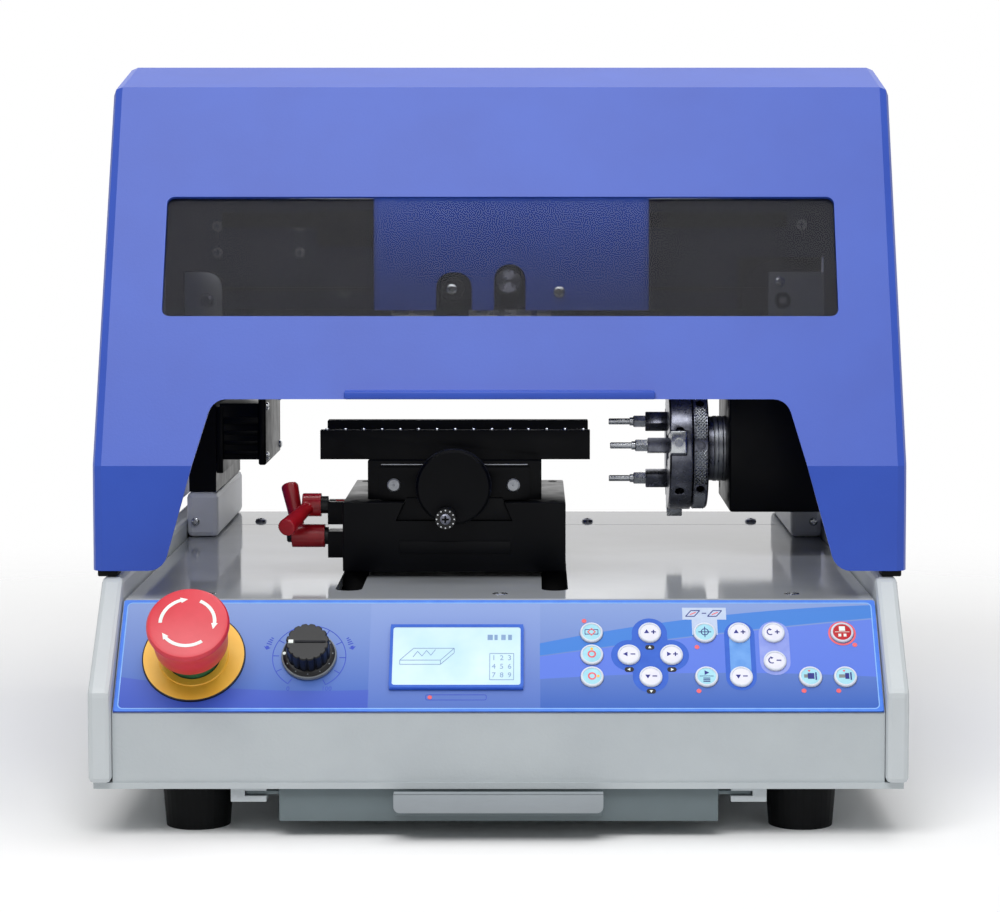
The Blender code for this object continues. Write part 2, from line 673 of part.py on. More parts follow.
def outline(name, points, thickness, turn, middle, finish="steel", carrier=None):
    """A flat outline with a thickness, half on each side of the middle, as a welded mesh."""
    curve = bpy.data.curves.new(name, "CURVE")
    curve.dimensions = "2D"
    curve.fill_mode = "BOTH"
    curve.extrude = thickness / 2
    spline = curve.splines.new("POLY")
    spline.points.add(len(points) - 1)
    for point, (x, y) in zip(spline.points, points):
        point.co = (x, y, 0, 1)
    spline.use_cyclic_u = True
    drawn = bpy.data.objects.new(f"{name}_curve", curve)
    CUTTERS.objects.link(drawn)
    graph = bpy.context.evaluated_depsgraph_get()
    mesh = bpy.data.meshes.new_from_object(drawn.evaluated_get(graph))
    bpy.data.objects.remove(drawn)
    shape = bmesh.new()
    shape.from_mesh(mesh)
    bmesh.ops.remove_doubles(shape, verts=shape.verts, dist=MERGE)
    bmesh.ops.dissolve_limit(
        shape, angle_limit=math.radians(FLAT_DEGREES), verts=shape.verts, edges=shape.edges
    )
    bmesh.ops.recalc_face_normals(shape, faces=shape.faces)
    return add_piece(name, mesh_of(shape, name), finish, middle, turn, carrier)


ACROSS = (math.pi / 2, 0, math.pi / 2)
UPRIGHT = (math.pi / 2, 0, 0)


def combine(piece, operation, tools):
    """Cuts the piece with each tool, or joins each tool to it."""
    for tool in tools:
        for group in list(tool.users_collection):
            group.objects.unlink(tool)
        CUTTERS.objects.link(tool)
        tool.hide_render = True
        tool.display_type = "WIRE"
        change = piece.modifiers.new(tool.name, "BOOLEAN")
        change.operation = operation
        change.object = tool
        change.solver = "EXACT"


def cut(piece, *tools):
    combine(piece, "DIFFERENCE", tools)


def fuse(piece, *tools):
    combine(piece, "UNION", tools)


def make_feet():
    """Four rubber feet under the base plate."""
    for front, y in (("front", FOOT_SETBACK), ("rear", BASE_DEPTH - FOOT_SETBACK)):
        for side, x in (("left", -FOOT_X), ("right", FOOT_X)):
            profile = [
                (0, FOOT_HEIGHT - CLEARANCE),
                (FOOT_RADIUS, FOOT_HEIGHT - CLEARANCE),
                (FOOT_RADIUS - FOOT_TAPER, 0),
                (0, 0),
            ]
            turned(f"{front}_{side}_foot", (x, y, 0), "+Z", profile, "rubber")


def folded_sheet(name, points, half, thickness, finish):
    """Sheet metal folded along points (y, z), which are on its outer side."""
    shape = bmesh.new()
    line = [shape.verts.new((-half, y, z)) for y, z in points]
    edges = [shape.edges.new(pair) for pair in zip(line, line[1:])]
    grown = bmesh.ops.extrude_edge_only(shape, edges=edges)
    moved = [part for part in grown["geom"] if isinstance(part, bmesh.types.BMVert)]
    bmesh.ops.translate(shape, vec=(2 * half, 0, 0), verts=moved)
    shape.normal_update()
    middle = sum((corner.co for corner in shape.verts), Vector()) / len(shape.verts)
    if sum(face.normal.dot(face.calc_center_median() - middle) for face in shape.faces) < 0:
        bmesh.ops.reverse_faces(shape, faces=shape.faces)
    piece = add_piece(name, mesh_of(shape, name), finish)
    wall = piece.modifiers.new("wall", "SOLIDIFY")
    wall.thickness = thickness
    wall.offset = -1
    wall.use_even_offset = True
    return piece


def make_base():
    """Bottom plate with the folded front cover, rear wall, tray runners and inlet; the sides."""
    flange_z = DECK_BOTTOM - CLEARANCE
    flange_y = COVER_SETBACK + PANEL_RUN * (flange_z - PANEL_FOOT) / PANEL_RISE
    sheet_z = FOOT_HEIGHT + SHEET_LIFT
    path = [
        (flange_y + DECK_FLANGE, flange_z),
        (flange_y, flange_z),
        (COVER_SETBACK, PANEL_FOOT),
        (COVER_SETBACK, sheet_z),
        (BASE_REAR, sheet_z),
        (BASE_REAR, flange_z),
    ]
    shell = folded_sheet("base_shell", path, FITTED_HALF, SHEET, "pale_paint")
    plate_half = BASE_WIDTH / 2 - PLATE_INSET
    plate = box(
        "bottom_plate",
        (-plate_half, PLATE_SETBACK, FOOT_HEIGHT),
        (plate_half, BASE_DEPTH - PLATE_SETBACK, PLATE_TOP),
    )
    fuse(shell, plate)
    for side in (-1, 1):
        near = side * (TRAY_HALF + RUNNER_GAP)
        far = near + side * RUNNER_WIDTH
        block = box(
            f"runner_{side}",
            (min(near, far), TRAY_FRONT, RUNNER_BOTTOM),
            (max(near, far), TRAY_FRONT + TRAY_DEPTH, FOOT_HEIGHT + PLATE_THICKNESS / 2),
        )
        groove_far = side * (TRAY_HALF + TRAY_FLANGE_REACH + CLEARANCE)
        groove_near = near - side * OVERRUN
        groove = box(
            f"runner_groove_{side}",
            (
                min(groove_near, groove_far),
                TRAY_FRONT - OVERRUN,
                TRAY_FLANGE_Z - CLEARANCE,
            ),
            (
                max(groove_near, groove_far),
                TRAY_FRONT + TRAY_DEPTH + OVERRUN,
                TRAY_FLANGE_Z + TRAY_FLANGE + CLEARANCE,
            ),
        )
        fuse(shell, block)
        cut(shell, groove)
    width, depth, height = INLET_SIZE
    inlet = box(
        "inlet_block",
        (INLET_X - width / 2, BASE_REAR - depth, INLET_Z - height / 2),
        (INLET_X + width / 2, BASE_REAR - SHEET / 2, INLET_Z + height / 2),
    )
    width, depth, height = INLET_SOCKET
    socket = box(
        "inlet_socket",
        (INLET_X - width / 2, BASE_REAR - depth, INLET_Z - height / 2),
        (INLET_X + width / 2, BASE_REAR + OVERRUN, INLET_Z + height / 2),
    )
    fuse(shell, inlet)
    cut(shell, socket)
    hole = rod(
        "estop_cover_hole",
        (*ESTOP_PLACE, -SHEET - OVERRUN),
        "+Z",
        SHEET + 2 * OVERRUN,
        ESTOP_STEM_RADIUS + CLEARANCE,
        carrier=PANEL,
    )
    cut(shell, hole)
    side_low = PLATE_TOP + CLEARANCE
    side_path = [
        (0, side_low),
        (0, SIDE_KINK),
        (SIDE_SLOPE_RUN, SIDE_TOP),
        (BASE_DEPTH, SIDE_TOP),
        (BASE_DEPTH, side_low),
    ]
    for side, sign in (("left", -1), ("right", 1)):
        middle = (sign * (BASE_WIDTH - SIDE_THICKNESS) / 2, 0, 0)
        panel = outline(
            f"{side}_side_panel", side_path, SIDE_THICKNESS, ACROSS, middle, "side_paint"
        )
        bevel(panel, SIDE_ROUNDING)


def make_deck():
    """Deck plate with the two slots for the vise and the seam of its rear strip."""
    deck = box(
        "deck_plate",
        (-FITTED_HALF, PANEL_HEAD_Y + DECK_FRONT_GAP, DECK_BOTTOM),
        (FITTED_HALF, BASE_DEPTH - PLATE_SETBACK, DECK_TOP),
        "deck_grey",
        DECK_ROUNDING,
    )
    for index, reach in enumerate((-SLOT_REACH, SLOT_REACH)):
        middle_x = VISE_X + reach
        radius = SLOT_WIDTH / 2 - MERGE
        corners = [
            (middle_x - SLOT_WIDTH / 2, SLOT_FRONT, radius),
            (middle_x + SLOT_WIDTH / 2, SLOT_FRONT, radius),
            (middle_x + SLOT_WIDTH / 2, SLOT_REAR, 0),
            (middle_x - SLOT_WIDTH / 2, SLOT_REAR, 0),
        ]
        slot = outline(
            f"deck_slot_{index}",
            filleted(corners),
            DECK_THICKNESS + 2 * OVERRUN,
            (0, 0, 0),
            (0, 0, DECK_TOP - DECK_THICKNESS / 2),
        )
        cut(deck, slot)
    seam = box(
        "deck_seam",
        (-FITTED_HALF - OVERRUN, SEAM_Y, DECK_TOP - SEAM_DEPTH),
        (FITTED_HALF + OVERRUN, SEAM_Y + SEAM_WIDTH, DECK_TOP + OVERRUN),
    )
    cut(deck, seam)


def make_tray():
    """Chip tray that hangs by its flanges and draws out to the front."""
    top = FOOT_HEIGHT - TRAY_TOP_GAP
    rear = TRAY_FRONT + TRAY_DEPTH
    tray = box(
        "chip_tray", (-TRAY_HALF, TRAY_FRONT, TRAY_BOTTOM), (TRAY_HALF, rear, top), "dark_steel"
    )
    reach = TRAY_HALF + TRAY_FLANGE_REACH
    flanges = box(
        "tray_flanges",
        (-reach, TRAY_FRONT + OVERRUN, TRAY_FLANGE_Z),
        (reach, rear - OVERRUN, TRAY_FLANGE_Z + TRAY_FLANGE),
    )
    lip = box(
        "tray_lip",
        (-TRAY_LIP_HALF, TRAY_FRONT - TRAY_LIP_REACH, TRAY_LIP_Z),
        (TRAY_LIP_HALF, TRAY_FRONT + TRAY_WALL / 2, TRAY_LIP_Z + TRAY_LIP_HEIGHT),
    )
    hollow = box(
        "tray_hollow",
        (-TRAY_HALF + TRAY_WALL, TRAY_FRONT + TRAY_WALL, TRAY_BOTTOM + TRAY_WALL),
        (TRAY_HALF - TRAY_WALL, rear - TRAY_WALL, top + OVERRUN),
    )
    fuse(tray, flanges, lip)
    cut(tray, hollow)


def key_places():
    """Name and place of each key on the slope."""
    first, pad, pointer, lift, turn, clamp, stop = (share * FITTED_HALF for share in KEY_SHARES)
    return {
        "flat_mode_key": (first, KEY_ROW_TOP),
        "ring_outside_key": (first, KEY_ROW_MIDDLE),
        "ring_inside_key": (first, KEY_ROW_LOW),
        "y_plus_key": (pad, KEY_ROW_TOP),
        "x_minus_key": (pad - KEY_PAD_REACH, KEY_ROW_MIDDLE),
        "x_plus_key": (pad + KEY_PAD_REACH, KEY_ROW_MIDDLE),
        "y_minus_key": (pad, KEY_ROW_LOW),
        "pointer_key": (pointer, KEY_ROW_TOP),
        "start_key": (pointer, KEY_ROW_LOW),
        "z_plus_key": (lift, KEY_ROW_TOP),
        "z_minus_key": (lift, KEY_ROW_LOW),
        "a_plus_key": (turn, KEY_ROW_TOP),
        "a_minus_key": (turn, KEY_A_MINUS_ROW),
        "stop_key": (stop, KEY_ROW_TOP),
        "clamp_open_key": (clamp, KEY_ROW_LOW),
        "clamp_close_key": (stop, KEY_ROW_LOW),
    }


def make_panel():
    """Printed overlay on the slope with the controls that stand on it."""
    overlay = box(
        "control_overlay",
        (-FITTED_HALF + OVERLAY_MARGIN, OVERLAY_MARGIN, CLEARANCE),
        (FITTED_HALF - OVERLAY_MARGIN, PANEL_LENGTH - OVERLAY_TOP_GAP, OVERLAY_TOP),
        "panel_blue",
        carrier=PANEL,
    )
    disc = rod(
        "estop_disc",
        (*ESTOP_PLACE, OVERLAY_TOP - OVERLAY_THICKNESS / 2),
        "+Z",
        OVERLAY_THICKNESS / 2 + ESTOP_DISC_THICKNESS,
        ESTOP_DISC_RADIUS,
        sides=FINE_SEGMENTS,
        carrier=PANEL,
    )
    fuse(overlay, disc)
    hole = rod(
        "estop_overlay_hole",
        (*ESTOP_PLACE, -OVERRUN),
        "+Z",
        OVERLAY_TOP + ESTOP_DISC_THICKNESS + 2 * OVERRUN,
        ESTOP_STEM_RADIUS + CLEARANCE,
        carrier=PANEL,
    )
    cut(overlay, hole)
    key_low = CLEARANCE + KEY_TRAVEL
    for name, place in key_places().items():
        opening = rod(
            f"{name}_hole",
            (*place, -OVERRUN),
            "+Z",
            OVERLAY_TOP + 2 * OVERRUN,
            KEY_RADIUS + KEY_HOLE_GAP,
            sides=KEY_SEGMENTS,
            carrier=PANEL,
        )
        cut(overlay, opening)
        profile = [
            (0, KEY_HEIGHT - key_low),
            (KEY_RADIUS - KEY_EDGE, KEY_HEIGHT - key_low),
            (KEY_RADIUS, KEY_HEIGHT - key_low - KEY_EDGE),
            (KEY_RADIUS, 0),
            (0, 0),
        ]
        turned(name, (*place, key_low), "+Z", profile, "key_white", KEY_SEGMENTS, PANEL)
    make_estop()
    make_knob_and_display()


def make_estop():
    """Emergency stop: the stem slides in its hole, and the red head twists on it."""
    stem_length = ESTOP_STEM_DEPTH + ESTOP_STEM_HEIGHT
    rod(
        "estop_stem",
        (*ESTOP_PLACE, -ESTOP_STEM_DEPTH),
        "+Z",
        stem_length,
        ESTOP_STEM_RADIUS,
        "green_plastic",
        carrier=PANEL,
    )
    low = ESTOP_STEM_HEIGHT + CLEARANCE
    profile = [
        (0, ESTOP_HEAD_TOP - low),
        (ESTOP_HEAD_RADIUS - ESTOP_HEAD_RIM, ESTOP_HEAD_TOP - low),
        (ESTOP_HEAD_RADIUS - ESTOP_HEAD_EDGE, ESTOP_RIM_HEIGHT - low),
        (ESTOP_HEAD_RADIUS, ESTOP_RIM_HEIGHT - ESTOP_HEAD_EDGE - low),
        (ESTOP_HEAD_RADIUS, ESTOP_RIM_HEIGHT - ESTOP_HEAD_RIM - low),
        (ESTOP_HEAD_NECK, 0),
        (0, 0),
    ]
    turned("estop_head", (*ESTOP_PLACE, low), "+Z", profile, "red_plastic", SEGMENTS, PANEL)


def make_knob_and_display():
    """Speed knob and liquid crystal display."""
    knob_low = OVERLAY_TOP + CLEARANCE
    profile = [
        (0, KNOB_HEIGHT),
        (KNOB_CAP_RADIUS - KNOB_EDGE, KNOB_HEIGHT),
        (KNOB_CAP_RADIUS, KNOB_HEIGHT - KNOB_EDGE),
        (KNOB_CAP_RADIUS, KNOB_SKIRT_HEIGHT),
        (KNOB_SKIRT_RADIUS - KNOB_EDGE, KNOB_SKIRT_HEIGHT),
        (KNOB_SKIRT_RADIUS, KNOB_SKIRT_HEIGHT - KNOB_EDGE),
        (KNOB_SKIRT_RADIUS, 0),
        (0, 0),
    ]
    turned("speed_knob", (*KNOB_PLACE, knob_low), "+Z", profile, "black_plastic", SEGMENTS, PANEL)
    x, y = DISPLAY_PLACE
    width, height = DISPLAY_SIZE
    box(
        "display",
        (x - width / 2, y - height / 2, OVERLAY_TOP + CLEARANCE),
        (x + width / 2, y + height / 2, OVERLAY_TOP + CLEARANCE + DISPLAY_THICKNESS),
        "display_glass",
        carrier=PANEL,
    )


def face_y(z):
    """Depth of the hood's slanted face at a height."""
    return HOOD_FRONT + (z - HOOD_FOLD) * math.tan(HOOD_LEAN)


def hood_cage():
    """The hood's outer surface, open below and behind."""
    side = [
        (HOOD_FRONT, HOOD_BOTTOM),
        (HOOD_FRONT, HOOD_FOLD),
        (HOOD_SHOULDER_Y, HOOD_SHOULDER_Z),
        (HOOD_SHOULDER_Y + HOOD_CREST_RUN, HOOD_TOP),
        (BASE_DEPTH, HOOD_TOP),
        (BASE_DEPTH, HOOD_BOTTOM),
    ]
    shape = bmesh.new()
    face = shape.faces.new([shape.verts.new((-HOOD_HALF, y, z)) for y, z in side])
    grown = bmesh.ops.extrude_face_region(shape, geom=[face])
    moved = [part for part in grown["geom"] if isinstance(part, bmesh.types.BMVert)]
    bmesh.ops.translate(shape, vec=(HOOD_WIDTH, 0, 0), verts=moved)
    bmesh.ops.recalc_face_normals(shape, faces=shape.faces)
    shape.normal_update()
    opened = [face for face in shape.faces if face.normal.z < -OPENED_SHARE or face.normal.y > OPENED_SHARE]
    bmesh.ops.delete(shape, geom=opened, context="FACES")
    return mesh_of(shape, "hood")


def make_hood():
    """Hood shell with the arched hand opening, window, finger lip and hinge bosses."""
    pivot = Vector((0, PIN_Y, PIN_Z))
    mesh = hood_cage()
    for vertex in mesh.vertices:
        vertex.co -= pivot
    hood = add_piece("hood", mesh, "blue_paint", pivot)
    bevel(hood, HOOD_ROUNDING, HOOD_BEVEL_DEGREES)
    wall = hood.modifiers.new("wall", "SOLIDIFY")
    wall.thickness = HOOD_WALL
    wall.offset = -1
    wall.use_even_offset = True
    rear_lip = box(
        "hood_rear_lip",
        (-HOOD_REAR_LIP_HALF, BASE_DEPTH - HOOD_WALL, HOOD_TOP - HOOD_REAR_LIP),
        (HOOD_REAR_LIP_HALF, BASE_DEPTH - MERGE, HOOD_TOP - HOOD_WALL / 2),
    )
    lip_z = ARCH_TOP + LIP_RISE
    lip = box(
        "hood_finger_lip",
        (-LIP_HALF, face_y(lip_z) - LIP_REACH, lip_z),
        (LIP_HALF, face_y(lip_z) + HOOD_WALL / 2, lip_z + LIP_HEIGHT),
        rounding=LIP_HEIGHT / 4,
    )
    fuse(hood, rear_lip, lip)
    for sign, direction in ((-1, "-X"), (1, "+X")):
        start = sign * (HOOD_HALF - HOOD_WALL - BOSS_LENGTH)
        boss = rod(
            f"hood_boss_{sign}",
            (start, PIN_Y, PIN_Z),
            direction,
            BOSS_LENGTH + HOOD_WALL / 2,
            BOSS_RADIUS,
        )
        bore = rod(
            f"hood_bore_{sign}",
            (start - sign * OVERRUN, PIN_Y, PIN_Z),
            direction,
            OVERRUN + BOSS_LENGTH - PIN_END_GAP + CLEARANCE,
            PIN_RADIUS + CLEARANCE,
        )
        fuse(hood, boss)
        cut(hood, bore)
    flare_z = HOOD_BOTTOM - MERGE
    below = HOOD_BOTTOM - OVERRUN
    flare = ARCH_FOOT_HALF + ARCH_FLARE_REACH
    right = [
        (flare, below, 0),
        (flare, flare_z, 0),
        (ARCH_FOOT_HALF, flare_z, ARCH_FLARE),
        (ARCH_TOP_HALF, ARCH_TOP, ARCH_CORNER),
    ]
    left = [(-x, z, radius) for x, z, radius in reversed(right)]
    arch_rear = face_y(ARCH_TOP) + HOOD_WALL + OVERRUN
    arch_front = HOOD_FRONT - OVERRUN - LIP_REACH
    arch = outline(
        "hood_arch",
        filleted(right + left),
        arch_rear - arch_front,
        UPRIGHT,
        (0, (arch_rear + arch_front) / 2, 0),
    )
    middle_z = (WINDOW_LOW + WINDOW_HIGH) / 2
    height = (WINDOW_HIGH - WINDOW_LOW) / math.cos(HOOD_LEAN)
    centre = Vector((0, face_y(middle_z), middle_z))
    tilt = (math.pi / 2 - HOOD_LEAN, 0, 0)
    corners = [
        (-WINDOW_HALF, -height / 2, WINDOW_CORNER),
        (WINDOW_HALF, -height / 2, WINDOW_CORNER),
        (WINDOW_HALF, height / 2, WINDOW_CORNER),
        (-WINDOW_HALF, height / 2, WINDOW_CORNER),
    ]
    window = outline(
        "hood_window_hole", filleted(corners), 2 * (HOOD_WALL + OVERRUN), tilt, centre
    )
    cut(hood, arch, window)
    outward = Vector((0, -math.cos(HOOD_LEAN), math.sin(HOOD_LEAN)))
    grown = [
        (x + math.copysign(PANE_MARGIN, x), y + math.copysign(PANE_MARGIN, y), radius)
        for x, y, radius in corners
    ]
    inset = HOOD_WALL + CLEARANCE + PANE_THICKNESS / 2
    outline(
        "hood_window",
        filleted(grown),
        PANE_THICKNESS,
        tilt,
        centre - outward * inset,
        "tinted_acrylic",
    )


def make_gantry():
    """White pillar feet, and the black frame of two uprights, cross plate and rail."""
    for side, sign in (("left", -1), ("right", 1)):
        inner, outer = sign * PILLAR_INNER, sign * FITTED_HALF
        box(
            f"{side}_pillar_foot",
            (min(inner, outer), PILLAR_FRONT, DECK_TOP + CLEARANCE),
            (max(inner, outer), PILLAR_REAR, PILLAR_FOOT_TOP - CLEARANCE),
            "white_paint",
            PILLAR_ROUNDING,
        )
    frame = box(
        "gantry_frame",
        (-(CHEEK_INNER + OVERRUN), CHEEK_FRONT, GANTRY_BOTTOM),
        (CHEEK_INNER + OVERRUN, CHEEK_FRONT + GANTRY_PLATE, GANTRY_TOP - MERGE),
        "black_anodised",
    )
    ear_top = PIN_Z + EAR_RISE
    side_path = filleted(
        [
            (CHEEK_FRONT - MERGE, PILLAR_FOOT_TOP, 0),
            (CHEEK_REAR, PILLAR_FOOT_TOP, 0),
            (PIN_Y + EAR_HALF, ear_top, EAR_CORNER),
            (PIN_Y - EAR_HALF, ear_top, EAR_CORNER),
            (PIN_Y - EAR_HALF - CHEEK_SHOULDER / 2, GANTRY_TOP, 0),
            (CHEEK_FRONT - MERGE, GANTRY_TOP, 0),
        ]
    )
    thickness = CHEEK_OUTER - CHEEK_INNER
    for side, sign in (("left", -1), ("right", 1)):
        middle = sign * (CHEEK_OUTER + CHEEK_INNER) / 2
        cheek = outline(f"{side}_cheek", side_path, thickness, ACROSS, (middle, 0, 0))
        opening = box(
            f"{side}_cheek_window",
            (middle - thickness, CHEEK_WINDOW_Y[0], CHEEK_WINDOW_Z[0]),
            (middle + thickness, CHEEK_WINDOW_Y[1], CHEEK_WINDOW_Z[1]),
            rounding=CHEEK_WINDOW_ROUNDING,
        )
        fuse(frame, cheek)
        cut(frame, opening)
    rail = box(
        "guide_rail",
        (-RAIL_HALF, CHEEK_FRONT - RAIL_PROUD, RAIL_LOW),
        (RAIL_HALF, CHEEK_FRONT + GANTRY_PLATE / 2, RAIL_HIGH),
    )
    half = MOTOR_SIDE / 2
    motor_front = CHEEK_FRONT + GANTRY_PLATE / 2
    motor = box(
        "belt_motor",
        (BELT_DRIVE_X - half, motor_front, BELT_HEIGHT - half),
        (BELT_DRIVE_X + half, motor_front + MOTOR_LENGTH, BELT_HEIGHT + half),
        rounding=MOTOR_ROUNDING,
    )
    pin_bore = rod(
        "ear_bore",
        (-CHEEK_OUTER - OVERRUN, PIN_Y, PIN_Z),
        "+X",
        2 * (CHEEK_OUTER + OVERRUN),
        PIN_RADIUS + CLEARANCE,
    )
    shaft_bore = rod(
        "motor_bore",
        (BELT_DRIVE_X, CHEEK_FRONT - OVERRUN, BELT_HEIGHT),
        "+Y",
        OVERRUN + DRIVE_SHAFT_DEPTH + 2 * CLEARANCE,
        DRIVE_SHAFT_RADIUS + CLEARANCE,
    )
    fuse(frame, rail, motor, *idler_bracket())
    cut(frame, pin_bore, shaft_bore)
    rod("hinge_pin", (-PIN_HALF, PIN_Y, PIN_Z), "+X", 2 * PIN_HALF, PIN_RADIUS, "steel")


def idler_bracket():
    """Plate, post and axle that hold the idler; they are bolted to the cross plate."""
    rear = BELT_FRONT - BRACKET_GAP
    front = rear - BRACKET_THICKNESS
    left, right = -CHEEK_OUTER, BELT_IDLER_X + BRACKET_REACH
    low, high = BELT_HEIGHT - BRACKET_LOW, BELT_HEIGHT + BRACKET_HIGH
    corners = [(left, low, 0), (right, low, 0), (right, high, BRACKET_CORNER), (left, high, 0)]
    plate = outline(
        "idler_bracket_plate",
        filleted(corners),
        BRACKET_THICKNESS,
        UPRIGHT,
        (0, (front + rear) / 2, 0),
    )
    post = box(
        "idler_bracket_post",
        (left + MERGE, front + BRACKET_THICKNESS / 2, low + MERGE),
        (left + BRACKET_POST, CHEEK_FRONT + OVERRUN, high - MERGE),
    )
    axle = rod(
        "idler_axle",
        (BELT_IDLER_X, front + BRACKET_THICKNESS / 2, BELT_HEIGHT),
        "+Y",
        CHEEK_FRONT + OVERRUN - front - BRACKET_THICKNESS / 2,
        PULLEY_BORE - CLEARANCE,
    )
    return plate, post, axle


def make_belt_drive():
    """Toothed belt with its idler, drive wheel and the bracket in front of the wheel."""
    outer = PULLEY_RADIUS + CLEARANCE + BELT_THICKNESS
    inner = PULLEY_RADIUS + CLEARANCE
    loops = []
    for radius in (outer, inner):
        corners = [
            (BELT_IDLER_X - radius, BELT_HEIGHT - radius, radius - MERGE),
            (BELT_DRIVE_X + radius, BELT_HEIGHT - radius, radius - MERGE),
            (BELT_DRIVE_X + radius, BELT_HEIGHT + radius, radius - MERGE),
            (BELT_IDLER_X - radius, BELT_HEIGHT + radius, radius - MERGE),
        ]
        loops.append(filleted(corners))
    middle = BELT_FRONT + BELT_WIDTH / 2
    belt = outline("drive_belt", loops[0], BELT_WIDTH, UPRIGHT, (0, middle, 0), "rubber")
    hollow = outline("belt_hollow", loops[1], BELT_WIDTH + OVERRUN, UPRIGHT, (0, middle, 0))
    cut(belt, hollow)
    length = BELT_WIDTH + PULLEY_FLANGE
    rim = PULLEY_RADIUS + PULLEY_FLANGE_RISE
    idler = [
        (PULLEY_RADIUS, length),
        (PULLEY_RADIUS, PULLEY_FLANGE),
        (rim, PULLEY_FLANGE),
        (rim, 0),
        (PULLEY_BORE, 0),
        (PULLEY_BORE, length),
    ]
    rear = BELT_FRONT + BELT_WIDTH + PULLEY_FLANGE + CLEARANCE
    turned("idler_pulley", (BELT_IDLER_X, rear, BELT_HEIGHT), "-Y", idler, "steel")
    wheel_rear = rear + DRIVE_WHEEL_THICKNESS - PULLEY_FLANGE
    shaft_end = CHEEK_FRONT + DRIVE_SHAFT_DEPTH - wheel_rear
    drive = [
        (0, DRIVE_WHEEL_THICKNESS + BELT_WIDTH),
        (PULLEY_RADIUS, DRIVE_WHEEL_THICKNESS + BELT_WIDTH),
        (PULLEY_RADIUS, DRIVE_WHEEL_THICKNESS),
        (DRIVE_WHEEL_RADIUS, DRIVE_WHEEL_THICKNESS),
        (DRIVE_WHEEL_RADIUS, 0),
        (DRIVE_SHAFT_RADIUS, 0),
        (DRIVE_SHAFT_RADIUS, -shaft_end),
        (0, -shaft_end),
    ]
    turned("drive_wheel", (BELT_DRIVE_X, wheel_rear, BELT_HEIGHT), "-Y", drive, "steel", FINE_SEGMENTS)
    bracket_rear = BELT_FRONT - BRACKET_GAP
    bracket_front = bracket_rear - BRACKET_THICKNESS
    left, right = BELT_DRIVE_X - BRACKET_REACH, CHEEK_OUTER
    low, high = BELT_HEIGHT - BRACKET_LOW, BELT_HEIGHT + BRACKET_HIGH
    corners = [(left, low, 0), (right, low, 0), (right, high, 0), (left, high, BRACKET_CORNER)]
    bracket = outline(
        "drive_bracket",
        filleted(corners),
        BRACKET_THICKNESS,
        UPRIGHT,
        (0, (bracket_front + bracket_rear) / 2, 0),
        "steel",
    )
    post = box(
        "drive_bracket_post",
        (left + MERGE, bracket_front + BRACKET_THICKNESS / 2, high - BRACKET_POST),
        (right - MERGE, CHEEK_FRONT - CLEARANCE, high - MERGE),
    )
    fuse(bracket, post)
    notch = rod(
        "drive_bracket_clearance",
        (BELT_DRIVE_X, bracket_rear + CLEARANCE, BELT_HEIGHT),
        "+Y",
        CHEEK_FRONT - bracket_rear,
        DRIVE_WHEEL_RADIUS + CLEARANCE,
        sides=FINE_SEGMENTS,
    )
    cut(bracket, notch)


def make_head():
    """X carriage on the rail, the blue cover, and the Z slide with the spindle."""
    carriage_half = HEAD_HALF - HEAD_SHEET - CLEARANCE
    carriage = box(
        "x_carriage",
        (HEAD_X - carriage_half, CARRIAGE_FRONT, CARRIAGE_BOTTOM),
        (HEAD_X + carriage_half, CARRIAGE_REAR, CARRIAGE_TOP),
        "black_anodised",
    )
    runner = box(
        "carriage_runner",
        (HEAD_X - RUNNER_HALF, CARRIAGE_REAR - OVERRUN, RUNNER_Z),
        (HEAD_X + RUNNER_HALF, CHEEK_FRONT - 2 * CLEARANCE, CARRIAGE_TOP - MERGE),
    )
    groove = box(
        "runner_rail_groove",
        (
            HEAD_X - RUNNER_HALF - OVERRUN,
            CHEEK_FRONT - RAIL_PROUD - CLEARANCE,
            RAIL_LOW - CLEARANCE,
        ),
        (HEAD_X + RUNNER_HALF + OVERRUN, CHEEK_FRONT + OVERRUN, RAIL_HIGH + CLEARANCE),
    )
    fuse(carriage, runner)
    cut(carriage, groove)
    make_head_cover()
    make_spindle()
    make_head_knobs()


def make_head_cover():
    """Blue sheet cover, open below and behind, with two notches in its front."""
    low = Vector((HEAD_X - HEAD_HALF, HEAD_FRONT, HEAD_BOTTOM))
    high = Vector((HEAD_X + HEAD_HALF, CARRIAGE_REAR - 2 * CLEARANCE, HEAD_TOP))
    middle = (low + high) / 2
    shape = bmesh.new()
    bmesh.ops.create_cube(shape, size=1)
    bmesh.ops.scale(shape, vec=high - low, verts=shape.verts)
    shape.normal_update()
    opened = [face for face in shape.faces if face.normal.z < -OPENED_SHARE or face.normal.y > OPENED_SHARE]
    bmesh.ops.delete(shape, geom=opened, context="FACES")
    cover = add_piece("head_cover", mesh_of(shape, "head_cover"), "blue_paint", middle)
    bevel(cover, HEAD_ROUNDING)
    wall = cover.modifiers.new("wall", "SOLIDIFY")
    wall.thickness = HEAD_SHEET
    wall.offset = -1
    wall.use_even_offset = True
    for index, (left, right, top) in enumerate((NOTCH_CLAMP, NOTCH_DISC)):
        corners = [
            (left, HEAD_BOTTOM - OVERRUN, 0),
            (right, HEAD_BOTTOM - OVERRUN, 0),
            (right, top, NOTCH_ROUNDING),
            (left, top, NOTCH_ROUNDING),
        ]
        notch = outline(
            f"head_notch_{index}",
            filleted(corners),
            2 * (HEAD_SHEET + OVERRUN),
            UPRIGHT,
            (0, HEAD_FRONT, 0),
        )
        cut(cover, notch)


